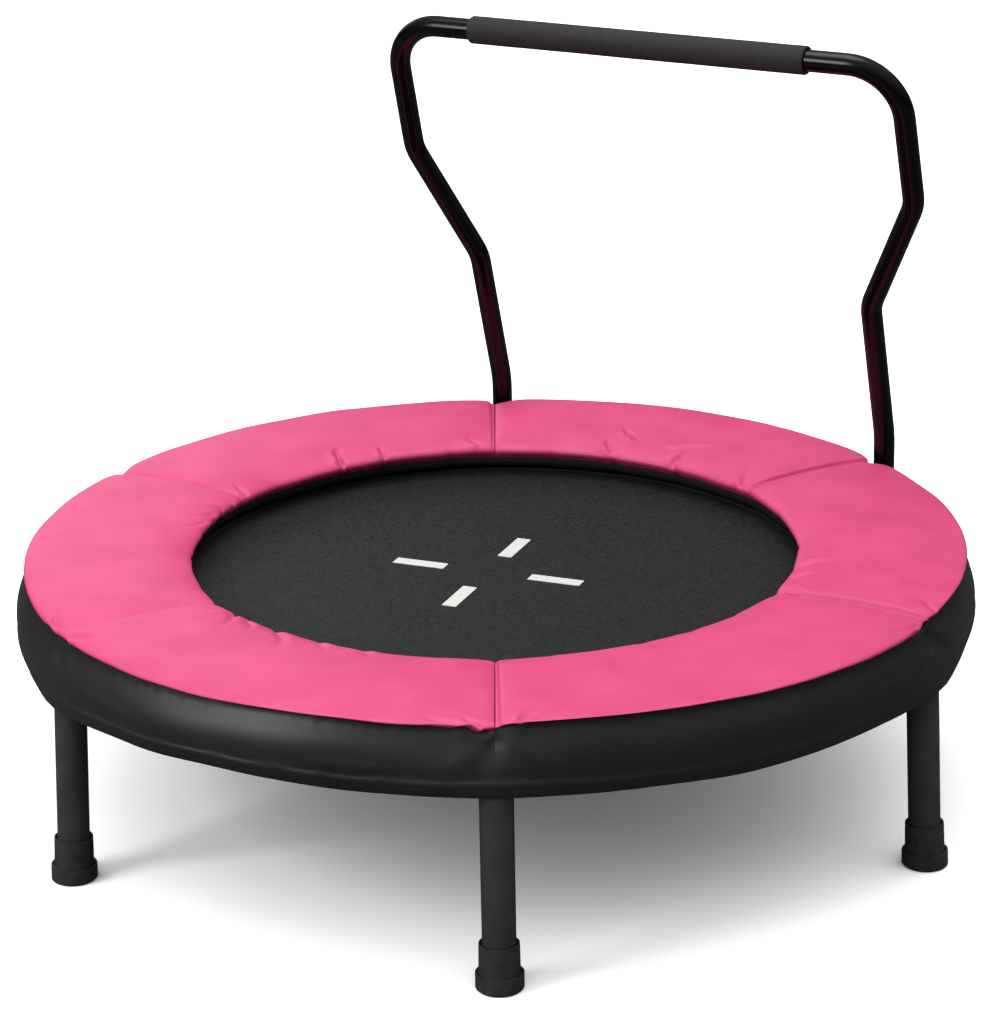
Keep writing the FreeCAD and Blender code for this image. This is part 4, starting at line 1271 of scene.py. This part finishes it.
def wound_spring():
    """One spring along +X, as a mesh."""
    lines, coil_start = spring_ends()
    points = [point for line in lines for point in line]
    edges, start = [], 0
    for line in lines:
        edges += [(start + index, start + index + 1) for index in range(len(line) - 1)]
        start += len(line)
    piece = make_object("spring_pattern", points, [], edges)
    values = {"Wire radius": WIRE / 2 * MM, "Coil radius": (COIL_OUTER - WIRE) / 2 * MM,
              "Length": COIL_LENGTH * MM, "Turns": COIL_LENGTH / (WIRE + COIL_GAP),
              "Start": (coil_start * MM, 0.0, spring_height * MM)}
    return bake(piece, wire_tree(zinc_steel), values)


pattern = wound_spring()
spring_turn = 360 / SPRINGS
for index in range(SPRINGS):
    angle = spring_turn * (index + 0.5)
    mesh = pattern.data.copy()
    mesh.transform(Matrix.Rotation(math.radians(angle), 4, "Z"))
    spring = bpy.data.objects.new("spring_%02d" % (index + 1), mesh)
    bpy.context.scene.collection.objects.link(spring)
    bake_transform(spring)
    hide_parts("springs")
print("springs: 36 of", len(pattern.data.polygons), "faces")
bpy.data.objects.remove(pattern)

# %% [markdown]
# ## Stitching
# A second Geometry Nodes tree lays stitches along any line: it walks along the line in even steps and sets
# one short, fat thread at each. It sews the radial seams of the padding, the hem of the skirt and two
# rows round the binding of the mat.

# %% Sew along lines
STITCH = 3.2
STITCH_PITCH = 4.2
THREAD = 0.42


def stitch_tree():
    """A tree that puts one stitch at every step along the input's edges."""
    tree, given = new_tree("stitches", {"Pitch": "NodeSocketFloat", "Length": "NodeSocketFloat",
                                        "Thread": "NodeSocketFloat", "Material": "NodeSocketMaterial"})
    lines = add_node(tree, "GeometryNodeMeshToCurve", inputs={"Mesh": given.outputs["Geometry"]})
    steps = add_node(tree, "GeometryNodeResampleCurve", {"mode": "LENGTH"},
                     {"Curve": lines.outputs[0], "Length": given.outputs["Pitch"]})
    thread = add_node(tree, "GeometryNodeMeshUVSphere", inputs={"Segments": 6, "Rings": 5, "Radius": 1.0})
    half = add_node(tree, "ShaderNodeMath", {"operation": "MULTIPLY"}, {0: given.outputs["Length"], 1: 0.5})
    size = add_node(tree, "ShaderNodeCombineXYZ", inputs={
        "X": given.outputs["Thread"], "Y": given.outputs["Thread"], "Z": half.outputs[0]})
    shaped = add_node(tree, "GeometryNodeTransform", inputs={"Geometry": thread.outputs[0],
                                                             "Scale": size.outputs[0]})
    tangent = add_node(tree, "GeometryNodeInputTangent")
    along = add_node(tree, "FunctionNodeAlignRotationToVector", {"axis": "Z"}, {"Vector": tangent.outputs[0]})
    sewn = add_node(tree, "GeometryNodeInstanceOnPoints", inputs={
        "Points": steps.outputs[0], "Instance": shaped.outputs[0], "Rotation": along.outputs[0]})
    end_tree(tree, sewn.outputs[0], given.outputs["Material"])
    return tree


stitching = stitch_tree()


def sew(name, lines, material, body):
    """One piece of stitches along several lines of points."""
    points, edges = [], []
    for line in lines:
        edges += [(len(points) + index, len(points) + index + 1) for index in range(len(line) - 1)]
        points += line
    piece = make_object(name, points, [], edges)
    bake(piece, stitching, {"Pitch": STITCH_PITCH * MM, "Length": STITCH * MM, "Thread": THREAD * MM,
                            "Material": material})
    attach(piece, body)
    print(name, len(piece.data.polygons), "faces")


seam_lines = []
for number in numbers:
    angle = SECTOR * (number - 1) + math.degrees(WELT / 377)
    radii, heights = section(angle, WELT)
    seam_lines.append([polar(radius, angle + math.degrees(WELT * (1 / radius - 1 / 377)), height + 0.25)
                       for radius, height in list(zip(radii, heights))[3:-2]])
sew("padding_seam_stitches", seam_lines, pink_thread, "frame")

hem_row = BODY_ROWS + HEM_FINE.index(HEM_STITCH)
hem_line_points = []
for column in range(SKIRT_COLUMNS + 1):
    x, y, z = band_points[column % SKIRT_COLUMNS, hem_row]
    outward = 1 + 0.15 / math.hypot(x, y)
    hem_line_points.append((x * outward, y * outward, z))
sew("hem_stitches", [hem_line_points], black_thread, "frame")

rows = [[polar(radius, 360 * step / 240, web_top + 0.1) for step in range(241)]
        for radius in (web_inner + 3, web_outer - 4)]
sew("binding_stitches", rows, black_thread, "mat")

# %% [markdown]
# ## Camera, floor and light
# The camera stands in front and to the right, well above the rail, with a long lens. The floor is a
# pale sheet. Its colour shows white to the camera where the light is full, and it keeps the shadow.

# %% Camera
CAMERA_AZIMUTH = 30.27
CAMERA_ELEVATION = 19.484
CAMERA_ROLL = -1.064
CAMERA_PLACE = (1.46985, -2.50828, 1.30426)
LENS = 111.8
FILM_WIDTH = 36.0
azimuth = math.radians(CAMERA_AZIMUTH)
elevation = math.radians(CAMERA_ELEVATION)
roll = math.radians(CAMERA_ROLL)
back = Vector((math.sin(azimuth) * math.cos(elevation), -math.cos(azimuth) * math.cos(elevation),
               math.sin(elevation)))
level = Vector((math.cos(azimuth), math.sin(azimuth), 0))
upright = back.cross(level)
camera_right = level * math.cos(roll) + upright * math.sin(roll)
camera_up = upright * math.cos(roll) - level * math.sin(roll)
camera_data = bpy.data.cameras.new("camera")
camera_data.lens = LENS
camera_data.sensor_width = FILM_WIDTH
camera = bpy.data.objects.new("camera", camera_data)
bpy.context.scene.collection.objects.link(camera)
turn = Matrix((camera_right, camera_up, back)).transposed().to_4x4()
camera.matrix_world = Matrix.Translation(CAMERA_PLACE) @ turn
bpy.context.scene.camera = camera

# %% Floor
FLOOR_HALF = 14
FLOOR_SEEN = 1.2
FLOOR_GLOW = 0.05
FLOOR_BOUNCE = 0.24
FLOOR_MIRRORED = 0.07


def grey(level):
    """A neutral linear colour."""
    return (level, level, level, 1)


floor_mesh = bpy.data.meshes.new("floor")
corners = [(-FLOOR_HALF, -FLOOR_HALF, 0), (FLOOR_HALF, -FLOOR_HALF, 0), (FLOOR_HALF, FLOOR_HALF, 0),
           (-FLOOR_HALF, FLOOR_HALF, 0)]
floor_mesh.from_pydata(corners, [], [(0, 1, 2, 3)])
floor = bpy.data.objects.new("floor", floor_mesh)
bpy.context.scene.collection.objects.link(floor)
floor_paper = bpy.data.materials.new("white_paper")
floor_paper.use_nodes = True
tree = floor_paper.node_tree
tree.nodes.clear()
rays = add_node(tree, "ShaderNodeLightPath")
dim_paper = add_node(tree, "ShaderNodeBsdfDiffuse", inputs={"Color": grey(FLOOR_BOUNCE)})
mirrored_paper = add_node(tree, "ShaderNodeBsdfDiffuse", inputs={"Color": grey(FLOOR_MIRRORED)})
paper = add_node(tree, "ShaderNodeBsdfDiffuse", inputs={"Color": grey(FLOOR_SEEN)})
glow = add_node(tree, "ShaderNodeEmission", inputs={"Color": grey(1), "Strength": FLOOR_GLOW})
lit = add_node(tree, "ShaderNodeAddShader")
tree.links.new(paper.outputs[0], lit.inputs[0])
tree.links.new(glow.outputs[0], lit.inputs[1])
unseen = add_node(tree, "ShaderNodeMixShader", inputs={0: rays.outputs["Is Glossy Ray"]})
tree.links.new(dim_paper.outputs[0], unseen.inputs[1])
tree.links.new(mirrored_paper.outputs[0], unseen.inputs[2])
chosen = add_node(tree, "ShaderNodeMixShader", inputs={0: rays.outputs["Is Camera Ray"]})
tree.links.new(unseen.outputs[0], chosen.inputs[1])
tree.links.new(lit.outputs[0], chosen.inputs[2])
add_node(tree, "ShaderNodeOutputMaterial", inputs={"Surface": chosen.outputs[0]})
floor_mesh.materials.append(floor_paper)

# %% Light
HORIZON = 0.1
world = bpy.data.worlds.new("studio")
bpy.context.scene.world = world
world.use_nodes = True
tree = world.node_tree
tree.nodes.clear()
rays = add_node(tree, "ShaderNodeLightPath")
ray_direction = add_node(tree, "ShaderNodeTexCoord").outputs["Generated"]
height_of_ray = add_node(tree, "ShaderNodeSeparateXYZ", inputs={"Vector": ray_direction}).outputs["Z"]


def rising_light(low, high):
    """Light that grows from low near the horizon to high overhead."""
    level = add_node(tree, "ShaderNodeMapRange", inputs={
        "Value": height_of_ray, "From Min": HORIZON, "From Max": 1.0, "To Min": low, "To Max": high})
    return add_node(tree, "ShaderNodeBackground", inputs={"Color": grey(1), "Strength": level.outputs[0]})


plain = rising_light(0.09, 2.25)
mirrored = rising_light(0.03, 0.6)
white = add_node(tree, "ShaderNodeBackground", inputs={"Color": grey(1), "Strength": 1.0})
glossy_sky = add_node(tree, "ShaderNodeMixShader", inputs={0: rays.outputs["Is Glossy Ray"]})
tree.links.new(plain.outputs[0], glossy_sky.inputs[1])
tree.links.new(mirrored.outputs[0], glossy_sky.inputs[2])
sky = add_node(tree, "ShaderNodeMixShader", inputs={0: rays.outputs["Is Camera Ray"]})
tree.links.new(glossy_sky.outputs[0], sky.inputs[1])
tree.links.new(white.outputs[0], sky.inputs[2])
add_node(tree, "ShaderNodeOutputWorld", inputs={"Surface": sky.outputs[0]})


def add_lamp(name, place, size, watts):
    """A square soft box that points at the middle of the trampoline."""
    data = bpy.data.lights.new(name, "AREA")
    data.size = size
    data.energy = watts
    lamp = bpy.data.objects.new(name, data)
    bpy.context.scene.collection.objects.link(lamp)
    lamp.location = place
    lamp.rotation_mode = "QUATERNION"
    lamp.rotation_quaternion = (Vector(place) - Vector((0, 0, 0.2))).to_track_quat("Z", "Y")


add_lamp("top_box", (-0.5, 0.3, 3.0), 1.6, 26)
add_lamp("front_box", (-1.35, -2.4, 1.65), 1.2, 42)
add_lamp("back_box", (-2.4, 1.9, 1.2), 1.4, 7)

bpy.context.scene.view_settings.view_transform = "Standard"

# %% [markdown]
# ## Finish

# %% Finish
print("finished")
